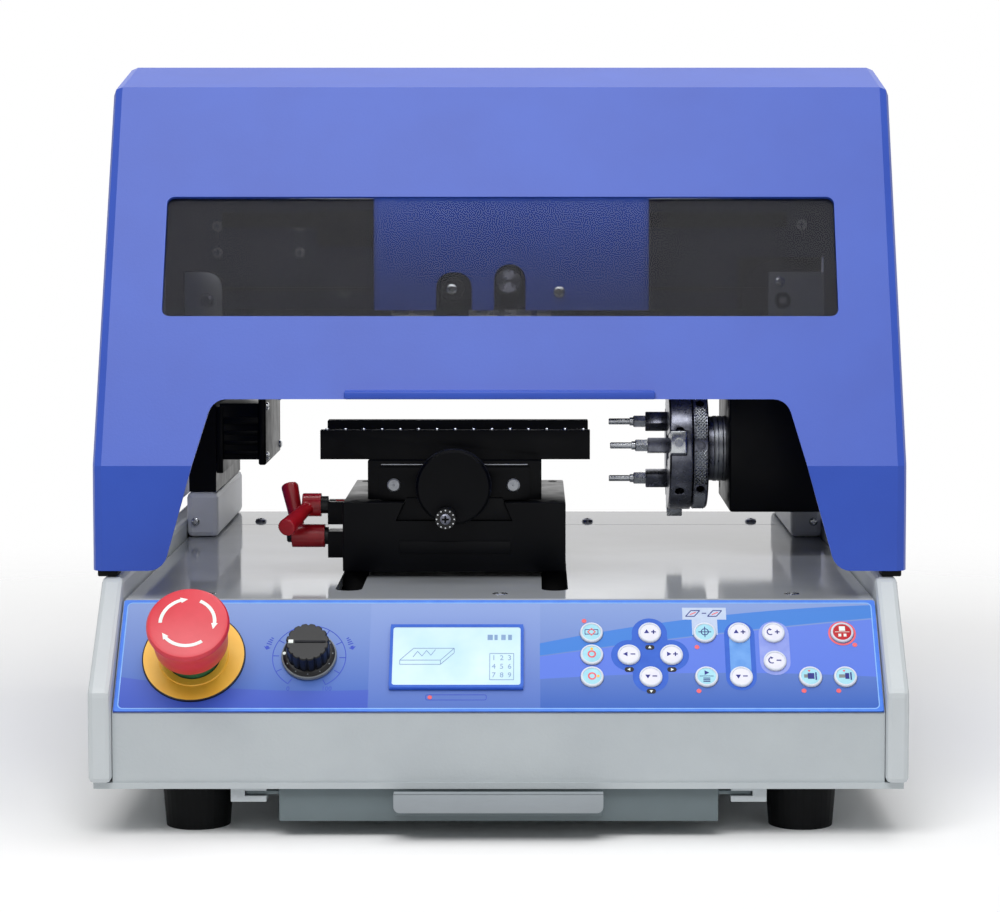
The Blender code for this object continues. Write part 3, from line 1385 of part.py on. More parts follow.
def make_spindle():
    """Z slide with the spindle motor and clamp block; shaft, collet and cutter turn in it."""
    slide_rear = CARRIAGE_FRONT - CLEARANCE
    unit = box(
        "spindle_unit",
        (HEAD_X - SLIDE_HALF, SPINDLE_Y + SPINDLE_RADIUS / 2, SPINDLE_BOTTOM + OVERRUN),
        (HEAD_X + SLIDE_HALF, slide_rear, SPINDLE_TOP - OVERRUN),
        "dark_steel",
    )
    motor = rod(
        "spindle_motor",
        (HEAD_X, SPINDLE_Y, SPINDLE_BOTTOM),
        "+Z",
        SPINDLE_TOP - SPINDLE_BOTTOM,
        SPINDLE_RADIUS,
    )
    nose = rod(
        "spindle_nose", (HEAD_X, SPINDLE_Y, NOSE_END), "+Z", NOSE_LENGTH + OVERRUN, NOSE_RADIUS
    )
    block = box(
        "clamp_block",
        (CLAMP_BLOCK[0], CLAMP_BLOCK_FRONT, CLAMP_BLOCK_Z[0]),
        (CLAMP_BLOCK[1], CLAMP_BLOCK_REAR, CLAMP_BLOCK_Z[1]),
    )
    bore = rod(
        "spindle_bore",
        (HEAD_X, SPINDLE_Y, NOSE_END - OVERRUN),
        "+Z",
        OVERRUN + SHAFT_DEPTH + CLEARANCE,
        SHAFT_RADIUS + CLEARANCE,
    )
    fuse(unit, motor, nose, block)
    cut(unit, bore)
    for x, z in (CLAMP_KNOB_PLACE, DISC_KNOB_PLACE):
        hole = rod(
            f"knob_hole_{x}",
            (x, CLAMP_BLOCK_FRONT - OVERRUN, z),
            "+Y",
            OVERRUN + HEAD_STEM_DEPTH + CLEARANCE,
            HEAD_STEM_RADIUS + CLEARANCE,
            sides=KEY_SEGMENTS,
        )
        cut(unit, hole)
    collet_top = NOSE_END - CLEARANCE
    shaft_top = NOSE_END + SHAFT_DEPTH - collet_top
    profile = [
        (0, shaft_top),
        (SHAFT_RADIUS, shaft_top),
        (SHAFT_RADIUS, 0),
        (COLLET_RADIUS, 0),
        (COLLET_RADIUS, -COLLET_LENGTH * COLLET_SHARE),
        (COLLET_TIP_RADIUS, -COLLET_LENGTH),
        (CUTTER_RADIUS, -COLLET_LENGTH),
        (CUTTER_RADIUS, -COLLET_LENGTH - CUTTER_LENGTH * CUTTER_SHARE),
        (0, -COLLET_LENGTH - CUTTER_LENGTH),
    ]
    turned("spindle_shaft", (HEAD_X, SPINDLE_Y, collet_top), "+Z", profile, "steel")


def make_head_knobs():
    """Two knobs on stems in the clamp block, which show in the cover's notches."""
    stem_rear = CLAMP_BLOCK_FRONT + HEAD_STEM_DEPTH
    length = stem_rear - HEAD_KNOB_FRONT
    radius, edge = HEAD_KNOB_RADIUS, HEAD_KNOB_EDGE
    profile = [
        (0, length),
        (radius - edge, length),
        (radius, length - edge),
        (radius, length - HEAD_KNOB_LENGTH),
        (HEAD_STEM_RADIUS, length - HEAD_KNOB_LENGTH),
        (HEAD_STEM_RADIUS, 0),
        (0, 0),
    ]
    for name, (x, z) in (
        ("head_clamp_knob", CLAMP_KNOB_PLACE),
        ("head_disc_knob", DISC_KNOB_PLACE),
    ):
        turned(name, (x, stem_rear, z), "-Y", profile, "black_plastic", KEY_SEGMENTS)


def make_chuck():
    """Gearbox on the right upright, and the three-jaw chuck that turns in it."""
    gearbox_front = PILLAR_FRONT - GEARBOX_GAP - GEARBOX_DEPTH
    gearbox = box(
        "gearbox_housing",
        (GEARBOX_FACE, gearbox_front, GEARBOX_BOTTOM),
        (CHEEK_OUTER, PILLAR_FRONT - GEARBOX_GAP, GEARBOX_TOP),
        "black_anodised",
        GEARBOX_ROUNDING,
    )
    flange = box(
        "gearbox_flange",
        (CHEEK_INNER, PILLAR_FRONT - GEARBOX_GAP - OVERRUN, PILLAR_FOOT_TOP + CLEARANCE),
        (
            CHEEK_OUTER - GEARBOX_ROUNDING,
            CHEEK_FRONT - CLEARANCE,
            GEARBOX_TOP - GEARBOX_ROUNDING,
        ),
    )
    fuse(gearbox, flange)
    bore = rod(
        "gearbox_bore",
        (GEARBOX_FACE - OVERRUN, CHUCK_Y, CHUCK_HEIGHT),
        "+X",
        OVERRUN + CHUCK_SHAFT_DEPTH + CLEARANCE,
        CHUCK_SHAFT_RADIUS + CLEARANCE,
    )
    cut(gearbox, bore)
    axis = (GEARBOX_FACE - CLEARANCE, CHUCK_Y, CHUCK_HEIGHT)
    ring_low = NECK_LENGTH + CLEARANCE
    disc_low = ring_low + RING_LENGTH + CLEARANCE
    face = disc_low + FACE_LENGTH
    profile = [
        (0, face),
        (CHUCK_RADIUS - CHUCK_EDGE, face),
        (CHUCK_RADIUS, face - CHUCK_EDGE),
        (CHUCK_RADIUS, disc_low),
        (CORE_RADIUS, disc_low),
        (CORE_RADIUS, NECK_LENGTH),
        (NECK_RADIUS, NECK_LENGTH),
        (NECK_RADIUS, 0),
        (CHUCK_SHAFT_RADIUS, 0),
        (CHUCK_SHAFT_RADIUS, CLEARANCE - CHUCK_SHAFT_DEPTH),
        (0, CLEARANCE - CHUCK_SHAFT_DEPTH),
    ]
    body = turned("chuck_body", axis, "-X", profile, "dark_steel", FINE_SEGMENTS)
    ring_profile = [
        (RING_RADIUS - CHUCK_EDGE, RING_LENGTH),
        (RING_RADIUS, RING_LENGTH - CHUCK_EDGE),
        (RING_RADIUS, CHUCK_EDGE),
        (RING_RADIUS - CHUCK_EDGE, 0),
        (CORE_RADIUS + CLEARANCE, 0),
        (CORE_RADIUS + CLEARANCE, RING_LENGTH),
    ]
    ring_place = (axis[0] - ring_low, CHUCK_Y, CHUCK_HEIGHT)
    ring = turned("scroll_ring", ring_place, "-X", ring_profile, "dark_steel", FINE_SEGMENTS)
    ring_middle = ring_place[0] - RING_LENGTH / 2
    for index in range(RING_HOLES):
        angle = 2 * math.pi * index / RING_HOLES
        reach = RING_RADIUS - RING_HOLE_DEPTH
        hole = rod(
            f"ring_hole_{index}",
            (
                ring_middle,
                CHUCK_Y + reach * math.cos(angle),
                CHUCK_HEIGHT + reach * math.sin(angle),
            ),
            (angle - math.pi / 2, 0, 0),
            RING_HOLE_DEPTH + OVERRUN,
            RING_HOLE,
            sides=HOLE_SEGMENTS,
        )
        cut(ring, hole)
    for index, degrees in enumerate(JAW_ANGLES):
        make_chuck_jaw(index + 1, math.radians(degrees), axis, face, body)


def make_chuck_jaw(number, angle, axis, face, body):
    """One jaw: a slide in a radial slot of the disc, a block and a stepped finger."""
    carrier = bpy.data.objects.new(f"chuck_jaw_{number}_frame", None)
    carrier.location = axis
    carrier.rotation_euler = (angle, 0, 0)
    carrier.parent = MACHINE
    PIECES.objects.link(carrier)
    slot_x = -face - OVERRUN
    slot = box(
        f"jaw_slot_{number}",
        (slot_x, -OVERRUN, -JAW_SLOT / 2),
        (-face + JAW_SLOT_DEPTH, CHUCK_RADIUS + OVERRUN, JAW_SLOT / 2),
        carrier=carrier,
    )
    cut(body, slot)
    half = JAW_SLOT / 2 - CLEARANCE
    slide_low = -face + JAW_SLOT_DEPTH - CLEARANCE
    jaw = box(
        f"chuck_jaw_{number}",
        (-face, JAW_SLIDE_INNER, -half),
        (slide_low, JAW_SLIDE_OUTER, half),
        "dark_steel",
        carrier=carrier,
    )
    block = box(
        f"jaw_block_{number}",
        (-face - JAW_BLOCK_LENGTH, JAW_FINGER_RADIUS - JAW_BLOCK / 2 + MERGE, -JAW_BLOCK / 2),
        (-face + MERGE, JAW_FINGER_RADIUS + JAW_BLOCK / 2, JAW_BLOCK / 2),
        carrier=carrier,
    )
    tip_start = -face - JAW_BLOCK_LENGTH
    finger = rod(
        f"jaw_finger_{number}",
        (tip_start + MERGE, JAW_FINGER_RADIUS, 0),
        "-X",
        JAW_PIN_LENGTH,
        JAW_PIN_RADIUS,
        sides=KEY_SEGMENTS,
        carrier=carrier,
    )
    tip = rod(
        f"jaw_tip_{number}",
        (tip_start - JAW_PIN_LENGTH / 2, JAW_FINGER_RADIUS, 0),
        "-X",
        JAW_PIN_LENGTH / 2 + JAW_TIP_LENGTH,
        JAW_TIP_RADIUS,
        sides=KEY_SEGMENTS,
        carrier=carrier,
    )
    fuse(jaw, block, finger, tip)


def make_side_motor():
    """Motor on the inner face of the left upright: flange, waisted body and end plate."""
    flange_left = -CHEEK_INNER + CLEARANCE
    front = CHEEK_FRONT - CHEEK_SETBACK
    rear = front + SIDE_MOTOR_DEPTH
    inset = SIDE_MOTOR_WAIST
    plate = box(
        "side_motor",
        (SIDE_MOTOR_END - SIDE_MOTOR_PLATE, front, SIDE_MOTOR_BOTTOM),
        (SIDE_MOTOR_END, rear, SIDE_MOTOR_TOP),
        "black_anodised",
        SIDE_MOTOR_ROUNDING / 4,
    )
    body = box(
        "side_motor_body",
        (flange_left + OVERRUN, front + inset, SIDE_MOTOR_BOTTOM + inset),
        (SIDE_MOTOR_END - SIDE_MOTOR_PLATE / 2, rear - inset, SIDE_MOTOR_TOP - inset),
    )
    flange = box(
        "side_motor_flange",
        (flange_left, front + OVERRUN, SIDE_MOTOR_BOTTOM - SIDE_MOTOR_FLANGE_DROP),
        (
            flange_left + SIDE_MOTOR_FLANGE,
            rear - OVERRUN,
            SIDE_MOTOR_TOP - SIDE_MOTOR_FLANGE_DROP,
        ),
    )
    fuse(plate, body, flange)


def make_vise():
    """Vise carriage with its legs, body with the fixed jaw, moving jaw, screw and levers."""
    half = VISE_WIDTH / 2
    carriage = box(
        "vise_carriage",
        (VISE_X - half, VISE_FRONT, VISE_BOTTOM),
        (VISE_X + half, VISE_REAR, VISE_SPLIT),
        "black_anodised",
        VISE_ROUNDING,
    )
    leg_rear = LEG_FRONT + LEG_DEPTH
    carrier_top = DECK_BOTTOM - CARRIER_TOP_GAP
    for index, reach in enumerate((-SLOT_REACH, SLOT_REACH)):
        leg = box(
            f"vise_leg_{index}",
            (
                VISE_X + reach - LEG_WIDTH / 2,
                LEG_FRONT + MERGE,
                carrier_top - CARRIER_THICKNESS / 2,
            ),
            (VISE_X + reach + LEG_WIDTH / 2, leg_rear - MERGE, VISE_BOTTOM + OVERRUN),
        )
        fuse(carriage, leg)
    carrier_half = SLOT_REACH + LEG_WIDTH / 2 + CARRIER_OVERHANG
    under = box(
        "vise_carrier",
        (VISE_X - carrier_half, LEG_FRONT, carrier_top - CARRIER_THICKNESS),
        (VISE_X + carrier_half, leg_rear, carrier_top),
    )
    blocks = [
        box(
            f"stud_block_{index}",
            (VISE_X - half - STUD_BLOCK_REACH, STUD_BLOCK_Y[0], low),
            (VISE_X - half + OVERRUN, STUD_BLOCK_Y[1], high),
        )
        for index, (low, high) in enumerate((UPPER_STUD_Z, LOWER_STUD_Z))
    ]
    fuse(carriage, under, *blocks)
    groove = outline(
        "dovetail_groove",
        dovetail(CLEARANCE, OVERRUN),
        VISE_DEPTH + 2 * OVERRUN,
        UPRIGHT,
        (VISE_X, (VISE_FRONT + VISE_REAR) / 2, 0),
    )
    cut(carriage, groove)
    for index, z in enumerate((UPPER_LEVER_Z, LOWER_LEVER_Z)):
        hole = rod(
            f"stud_hole_{index}",
            (VISE_X - half - STUD_BLOCK_REACH - OVERRUN, LEVER_Y, z),
            "+X",
            STUD_BLOCK_REACH + OVERRUN,
            STUD_RADIUS + CLEARANCE,
            sides=KEY_SEGMENTS,
        )
        cut(carriage, hole)
    make_vise_body()
    make_moving_jaw()
    make_handwheel()
    make_lever("upper_clamp_lever", UPPER_LEVER_Z, UPPER_LEVER_HUB, UPPER_LEVER_ARM)
    make_lever("lower_clamp_lever", LOWER_LEVER_Z, LOWER_LEVER_HUB, LOWER_LEVER_ARM)


def dovetail(gap, rise):
    """Outline of the dovetail across the vise, from its foot up past the split."""
    slope = (DOVETAIL_FOOT_HALF - DOVETAIL_TOP_HALF) / DOVETAIL_DEPTH
    foot, head = VISE_SPLIT - DOVETAIL_DEPTH - gap, VISE_SPLIT + rise
    foot_half = DOVETAIL_FOOT_HALF + gap + slope * gap
    head_half = DOVETAIL_TOP_HALF + gap - slope * rise
    return [(-foot_half, foot), (foot_half, foot), (head_half, head), (-head_half, head)]


def make_vise_body():
    """Upper body: dovetail, stem with the trough of the screw, front plate and fixed jaw."""
    front = VISE_FRONT + STEM_SETBACK
    body = box(
        "vise_body",
        (VISE_X - STEM_HALF, front, VISE_SPLIT + CLEARANCE),
        (VISE_X + STEM_HALF, VISE_REAR, JAW_BOTTOM),
        "dark_steel",
    )
    tail = outline(
        "vise_dovetail",
        dovetail(0, OVERRUN),
        VISE_DEPTH - 2 * OVERRUN,
        UPRIGHT,
        (VISE_X, (VISE_FRONT + VISE_REAR) / 2, 0),
    )
    plate = box(
        "vise_front_plate",
        (VISE_X - FRONT_PLATE_HALF, front - FRONT_PLATE_THICKNESS, VISE_SPLIT + 2 * CLEARANCE),
        (VISE_X + FRONT_PLATE_HALF, front + MERGE, FRONT_PLATE_TOP),
    )
    jaw = box(
        "fixed_jaw",
        (VISE_X - JAW_WIDTH / 2, JAW_FRONT, JAW_BOTTOM - MERGE),
        (VISE_X + JAW_WIDTH / 2, JAW_FRONT + JAW_DEPTH, JAW_TOP),
    )
    fuse(body, tail, plate, jaw)
    trough_front = MOVING_JAW_FRONT + TONGUE_SETBACK - TROUGH_MARGIN
    trough_rear = VISE_REAR - TROUGH_MARGIN
    trough = box(
        "screw_trough",
        (VISE_X - TROUGH_HALF, trough_front, TROUGH_FLOOR),
        (VISE_X + TROUGH_HALF, trough_rear, JAW_BOTTOM + OVERRUN),
    )
    bore = rod(
        "screw_bore",
        (VISE_X, front - FRONT_PLATE_THICKNESS - OVERRUN, SCREW_HEIGHT),
        "+Y",
        VISE_REAR - front + FRONT_PLATE_THICKNESS + 2 * OVERRUN,
        SCREW_RADIUS + SCREW_HOLE_GAP,
    )
    cut(body, trough, bore)


def make_moving_jaw():
    """Rear jaw with the tongue that the screw drives."""
    jaw = box(
        "moving_jaw",
        (VISE_X - JAW_WIDTH / 2, MOVING_JAW_FRONT, JAW_BOTTOM + CLEARANCE),
        (VISE_X + JAW_WIDTH / 2, MOVING_JAW_FRONT + JAW_DEPTH, JAW_TOP),
        "dark_steel",
    )
    front = MOVING_JAW_FRONT + TONGUE_SETBACK
    tongue = box(
        "jaw_tongue",
        (VISE_X - TROUGH_HALF + CLEARANCE, front, TROUGH_FLOOR + CLEARANCE),
        (VISE_X + TROUGH_HALF - CLEARANCE, front + TONGUE_DEPTH, JAW_BOTTOM + OVERRUN),
    )
    bore = rod(
        "nut_bore",
        (VISE_X, front - OVERRUN, SCREW_HEIGHT),
        "+Y",
        TONGUE_DEPTH + 2 * OVERRUN,
        SCREW_RADIUS + SCREW_HOLE_GAP,
    )
    fuse(jaw, tongue)
    cut(jaw, bore)


def make_handwheel():
    """Vise screw with its handwheel, and the crank knob on the wheel's pin."""
    screw_end = VISE_REAR - CLEARANCE
    length = screw_end - WHEEL_FRONT
    low = length - WHEEL_THICKNESS
    profile = [
        (0, length),
        (WHEEL_RADIUS - WHEEL_EDGE, length),
        (WHEEL_RADIUS, length - WHEEL_EDGE),
        (WHEEL_RADIUS, low + WHEEL_EDGE),
        (WHEEL_RADIUS - WHEEL_EDGE, low),
        (SCREW_RADIUS, low),
        (SCREW_RADIUS, 0),
        (0, 0),
    ]
    place = (VISE_X, screw_end, SCREW_HEIGHT)
    wheel = turned("vise_handwheel", place, "-Y", profile, "black_anodised", FINE_SEGMENTS)
    x, z = VISE_X + CRANK_OFFSET[0], SCREW_HEIGHT + CRANK_OFFSET[1]
    pin = rod(
        "crank_pin",
        (x, WHEEL_FRONT + OVERRUN, z),
        "-Y",
        OVERRUN + CRANK_LENGTH,
        CRANK_PIN_RADIUS,
        sides=KEY_SEGMENTS,
    )
    fuse(wheel, pin)
    inner = CRANK_PIN_RADIUS + CLEARANCE
    knob = [
        (CRANK_RADIUS, CRANK_LENGTH),
        (CRANK_RADIUS, 0),
        (inner, 0),
        (inner, CRANK_LENGTH),
    ]
    turned(
        "crank_knob", (x, WHEEL_FRONT - CRANK_GAP, z), "-Y", knob, "black_plastic", KEY_SEGMENTS
    )


def make_lever(name, z, hub_length, arm):
    """Red clamp lever: a hub on its stud, with an arm that leaves the hub near its end."""
    block_face = VISE_X - VISE_WIDTH / 2 - STUD_BLOCK_REACH
    hub_start = block_face - CLEARANCE
    hub = rod(
        name,
        (hub_start, LEVER_Y, z),
        "-X",
        hub_length,
        LEVER_HUB_RADIUS,
        "lever_red",
    )
    stud = rod(
        f"{name}_stud",
        (hub_start - OVERRUN, LEVER_Y, z),
        "+X",
        OVERRUN + STUD_BLOCK_REACH,
        STUD_RADIUS,
        sides=KEY_SEGMENTS,
    )
    reach = Vector(arm)
    start = Vector((hub_start - hub_length + LEVER_ARM_INSET, LEVER_Y, z))
    turn = reach.to_track_quat("Z", "Y").to_euler()
    handle = rod(
        f"{name}_arm",
        start,
        tuple(turn),
        reach.length,
        LEVER_ARM_RADIUS,
        tip=LEVER_ARM_TIP,
        sides=KEY_SEGMENTS,
    )
    fuse(hub, stud, handle)


def main():
    make_feet()
    make_base()
    make_deck()
    make_tray()
    make_panel()
    make_hood()
    make_gantry()
    make_belt_drive()
    make_head()
    make_chuck()
    make_side_motor()
    make_vise()


main()
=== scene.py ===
"""Looks of the bench-top engraving machine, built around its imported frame."""

import math

import bmesh
import bpy
from mathutils import Matrix, Vector


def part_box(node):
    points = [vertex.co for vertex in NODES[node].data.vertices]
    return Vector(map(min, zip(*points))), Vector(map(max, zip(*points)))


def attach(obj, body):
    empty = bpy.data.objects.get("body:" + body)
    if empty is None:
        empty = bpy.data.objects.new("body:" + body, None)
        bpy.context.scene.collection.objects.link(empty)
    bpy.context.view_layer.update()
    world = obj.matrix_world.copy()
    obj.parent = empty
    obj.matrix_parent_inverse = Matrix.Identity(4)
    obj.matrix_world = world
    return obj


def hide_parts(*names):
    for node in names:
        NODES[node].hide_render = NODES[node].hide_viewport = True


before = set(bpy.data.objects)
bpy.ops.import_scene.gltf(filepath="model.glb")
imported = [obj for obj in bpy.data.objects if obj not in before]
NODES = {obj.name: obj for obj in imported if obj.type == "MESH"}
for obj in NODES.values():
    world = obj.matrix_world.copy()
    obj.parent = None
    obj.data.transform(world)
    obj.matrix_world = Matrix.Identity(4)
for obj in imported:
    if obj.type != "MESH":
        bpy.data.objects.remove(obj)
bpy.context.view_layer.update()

# Solids and materials are in metres, and new pieces are drawn in millimetres
MM = 0.001
BASE_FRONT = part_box("left_side_panel")[0].y

# A seat is a matrix that scales, turns and moves what is drawn. ACROSS lays an outline's
# height along X. MACHINE's origin is on the ground, in the middle of the base's front edge
UP = Matrix()
FRONT = Matrix.Rotation(math.pi / 2, 4, "X")
REAR = Matrix.Rotation(-math.pi / 2, 4, "X")
LEFT = Matrix.Rotation(-math.pi / 2, 4, "Y")
RIGHT = Matrix.Rotation(math.pi / 2, 4, "Y")
ACROSS = Matrix(((0, 0, 1, 0), (1, 0, 0, 0), (0, 1, 0, 0), (0, 0, 0, 1)))
MACHINE = Matrix.Translation((0, BASE_FRONT, 0)) @ Matrix.Scale(MM, 4)

# Faces and axes of the machine, in millimetres from MACHINE's origin
SIDE_FACE = 200.0
REAR_WALL = 443.0
DECK_TOP = 112.0
CROSS_PLATE = 305.0
BRACKET_FACE = 289.0
BELT_Z = 253.5
GEARBOX_FACE = 127.0
SPINDLE_X, SPINDLE_Y = 5.0, 256.0
HEAD_FACE = 193.5
CHUCK_Y, CHUCK_Z = 256.0, 169.4
VISE_X, VISE_FACE = -25.0, 135.5

# The hood's side view: front, fold and shoulder, how much higher the photo has the fold, and
# how deep its front edge reaches
HOOD_SIDE = 204.8
HOOD_FRONT = 50.0
FOLD_Z = 165.5
SHOULDER_Y, SHOULDER_Z = 136.0, 371.5
FOLD_LIFT = 13.5
HOOD_EDGE = 9.0
ROUNDING_FACE = 400 * MM**2

# Control panel: millimetres along it, up its slope and out of it
PANEL_ANGLE = math.atan2(50, 43)
PANEL = MACHINE @ Matrix.Translation((0, 5, 62)) @ Matrix.Rotation(PANEL_ANGLE, 4, "X")
PANEL_FOOT, PANEL_CREST = 62.0, 112.0
FILM_TOP = 1.5
INK = 0.07
KEY_TOP = 2.4
STOP_PLACE = (-150.8, 31.1)

# Camera: it looks back and slightly down, and a small lens shift frames the machine
CAMERA_PLACE = (16.23, -1326, 311.6)
CAMERA_PITCH = 3.873
CAMERA_LENS = 99.2
CAMERA_SHIFT = (-0.0318, -0.0685)


def add_camera():
    data = bpy.data.cameras.new("camera")
    data.lens = CAMERA_LENS
    data.shift_x, data.shift_y = CAMERA_SHIFT
    data.clip_start = 0.05
    camera = bpy.data.objects.new("camera", data)
    camera.location = MACHINE @ Vector(CAMERA_PLACE)
    camera.rotation_euler = (math.radians(90 - CAMERA_PITCH), 0, 0)
    bpy.context.scene.collection.objects.link(camera)
    bpy.context.scene.camera = camera


add_camera()


# Materials


def linear(code):
    """The linear colour of an sRGB hex code, which is what Blender's sockets take."""
    shares = [int(code[start : start + 2], 16) / 255 for start in (0, 2, 4)]
    colour = [s / 12.92 if s <= 0.04045 else ((s + 0.055) / 1.055) ** 2.4 for s in shares]
    return (*colour, 1)


def add_node(tree, kind, inputs=None, **settings):
    """Adds a node with its settings. An input is linked if it is an output, else set."""
    node = tree.nodes.new(kind)
    for name, value in settings.items():
        setattr(node, name, value)
    for name, value in (inputs or {}).items():
        if isinstance(value, bpy.types.NodeSocket):
            tree.links.new(value, node.inputs[name])
        else:
            node.inputs[name].default_value = value
    return node


def new_material(name, colour, roughness, metallic=0.0, **sockets):
    """A material of one Principled shader. Words of a socket's name are joined by _."""
    material = bpy.data.materials.new(name)
    material.use_nodes = True
    shader = material.node_tree.nodes["Principled BSDF"]
    shader.inputs["Base Color"].default_value = linear(colour)
    shader.inputs["Roughness"].default_value = roughness
    shader.inputs["Metallic"].default_value = metallic
    for socket, value in sockets.items():
        shader.inputs[socket.replace("_", " ")].default_value = value
    return material


def drive(material, socket, output):
    """Lets a node's output drive a socket of the material's shader."""
    tree = material.node_tree
    tree.links.new(output, tree.nodes["Principled BSDF"].inputs[socket])


def noise(material, size, stretch=(1, 1, 1), detail=3.0):
    """Soft noise of a size in metres on the piece's own coordinates."""
    tree = material.node_tree
    place = add_node(tree, "ShaderNodeTexCoord").outputs["Object"]
    laid_out = add_node(tree, "ShaderNodeMapping", {"Vector": place, "Scale": stretch})
    inputs = {"Vector": laid_out.outputs["Vector"], "Scale": 1 / size}
    inputs |= {"Detail": detail, "Roughness": 0.55}
    return add_node(tree, "ShaderNodeTexNoise", inputs).outputs["Fac"]


def add_grain(material, size, height, stretch=(1, 1, 1)):
    """A fine bump, whose grain has the given size and height in metres."""
    inputs = {"Height": noise(material, size, stretch, 2.0), "Strength": 1.0, "Distance": height}
    bump = add_node(material.node_tree, "ShaderNodeBump", inputs)
    drive(material, "Normal", bump.outputs["Normal"])


def vary_colour(material, dark, light, size):
    """Two near colours that change over each other in soft patches of the given size."""
    ramp = add_node(material.node_tree, "ShaderNodeValToRGB", {"Fac": noise(material, size)})
    for element, place, code in zip(ramp.color_ramp.elements, (0.3, 0.7), (dark, light)):
        element.position = place
        element.color = linear(code)
    drive(material, "Base Color", ramp.outputs["Color"])


def vary_roughness(material, low, high, size):
    """Roughness that wanders between two values in patches of the given size."""
    inputs = {"Value": noise(material, size), "From Min": 0.3, "From Max": 0.7}
    inputs |= {"To Min": low, "To Max": high}
    spread = add_node(material.node_tree, "ShaderNodeMapRange", inputs)
    drive(material, "Roughness", spread.outputs["Result"])


def powder_coat(name, dark, light, roughness):
    """Powder coat baked on sheet steel: satin, with a faint orange-peel skin.

    The real skin has cells of about 0.6 mm. They are drawn at 1.3 mm, so that they show.
    """
    material = new_material(name, light, roughness, IOR=1.5)
    vary_colour(material, dark, light, 50 * MM)
    add_grain(material, 1.3 * MM, 0.04 * MM)
    return material


def pebbled_paint():
    """Pebbled machine paint on the base cover: matt, with cells of about 1.5 mm."""
    material = new_material("pebbled_machine_paint", "B6BCBE", 0.55, IOR=1.5)
    vary_colour(material, "B1B8BC", "B9C0C3", 45 * MM)
    add_grain(material, 1.6 * MM, 0.14 * MM)
    return material


def deck_enamel():
    """Baked enamel on the deck plate: pale grey and glossy enough to mirror what stands on it."""
    material = new_material("grey_baked_enamel", "A8ACAE", 0.13, IOR=1.6)
    vary_colour(material, "A5A9AC", "ADB1B3", 60 * MM)
    vary_roughness(material, 0.06, 0.1, 60 * MM)
    return material


def anodised(name, dark, light, low, high):
    """Black anodised aluminium: dyed oxide that drinks light and shines only at a slant.

    The oxide's own reflection is weak, which the low specular level gives. The milling
    lines are 0.3 mm apart on the real part and are drawn at 0.7 mm, so that they show.
    """
    material = new_material(name, dark, low, Specular_IOR_Level=0.09)
    vary_colour(material, dark, light, 30 * MM)
    vary_roughness(material, low, high, 12 * MM)
    add_grain(material, 0.7 * MM, 0.01 * MM, stretch=(0.06, 1, 1))
    return material


def turned_steel(name, dark, light, roughness):
    """Turned steel: bright, with fine tool marks that smear its reflections."""
    material = new_material(name, light, roughness, 1.0)
    vary_colour(material, dark, light, 8 * MM)
    vary_roughness(material, roughness, roughness + 0.1, 3 * MM)
    add_grain(material, 0.6 * MM, 0.0015 * MM, stretch=(1, 0.1, 0.1))
    return material


def moulded(name, dark, light, roughness, **sockets):
    """Injection-moulded plastic or rubber: even colour, with a faint spark-eroded grain."""
    material = new_material(name, light, roughness, IOR=1.49, **sockets)
    vary_colour(material, dark, light, 9 * MM)
    add_grain(material, 0.8 * MM, 0.012 * MM)
    return material


def screen_ink(name, dark, light):
    """Screen-printed ink on film: even and satin, a little thicker in places."""
    material = new_material(name, light, 0.4, Specular_IOR_Level=0.2)
    vary_colour(material, dark, light, 6 * MM)
    add_grain(material, 0.7 * MM, 0.004 * MM)
    return material


def smoked_acrylic():
    """Cast acrylic sheet with a smoke tint: clear enough to see in, mirror smooth."""
    sockets = {"Specular_IOR_Level": 0.1, "Alpha": 0.52}
    material = new_material("smoked_acrylic", "0A0A16", 0.03, **sockets)
    vary_roughness(material, 0.02, 0.05, 80 * MM)
    return material


def display_glass():
    """Liquid crystal display with its light on: pale cyan, with a faint pixel weave."""
    material = new_material("liquid_crystal_display", "D2EEF8", 0.12, IOR=1.5)
    vary_colour(material, "C6E8F4", "DCF4FC", 25 * MM)
    add_grain(material, 0.6 * MM, 0.003 * MM)
    return material


# Each band of the film: the heights above the ground of its lower and upper edge at its left
# end, middle and right end, its left and right end, its colour and how much it covers
FILM_BANDS = (
    ((62, 112), (62, 112), (62, 112), -64, 20.3, "A8B8EC", 0.12),
    ((62, 78.6), (62, 73), (62, 72.6), -190, -64, "3846C0", 0.5),
    ((87.1, 92.8), (96.5, 104.5), (103.8, 109.8), 20.3, 188.5, "2E7CD6", 0.85),
    ((76.9, 87.0), (79.6, 96.3), (77.8, 103.6), 20.3, 188.5, "5A7AE4", 0.8),
)
BAND_END_BLUR = 0.2
BAND_EDGE_BLUR = 0.3


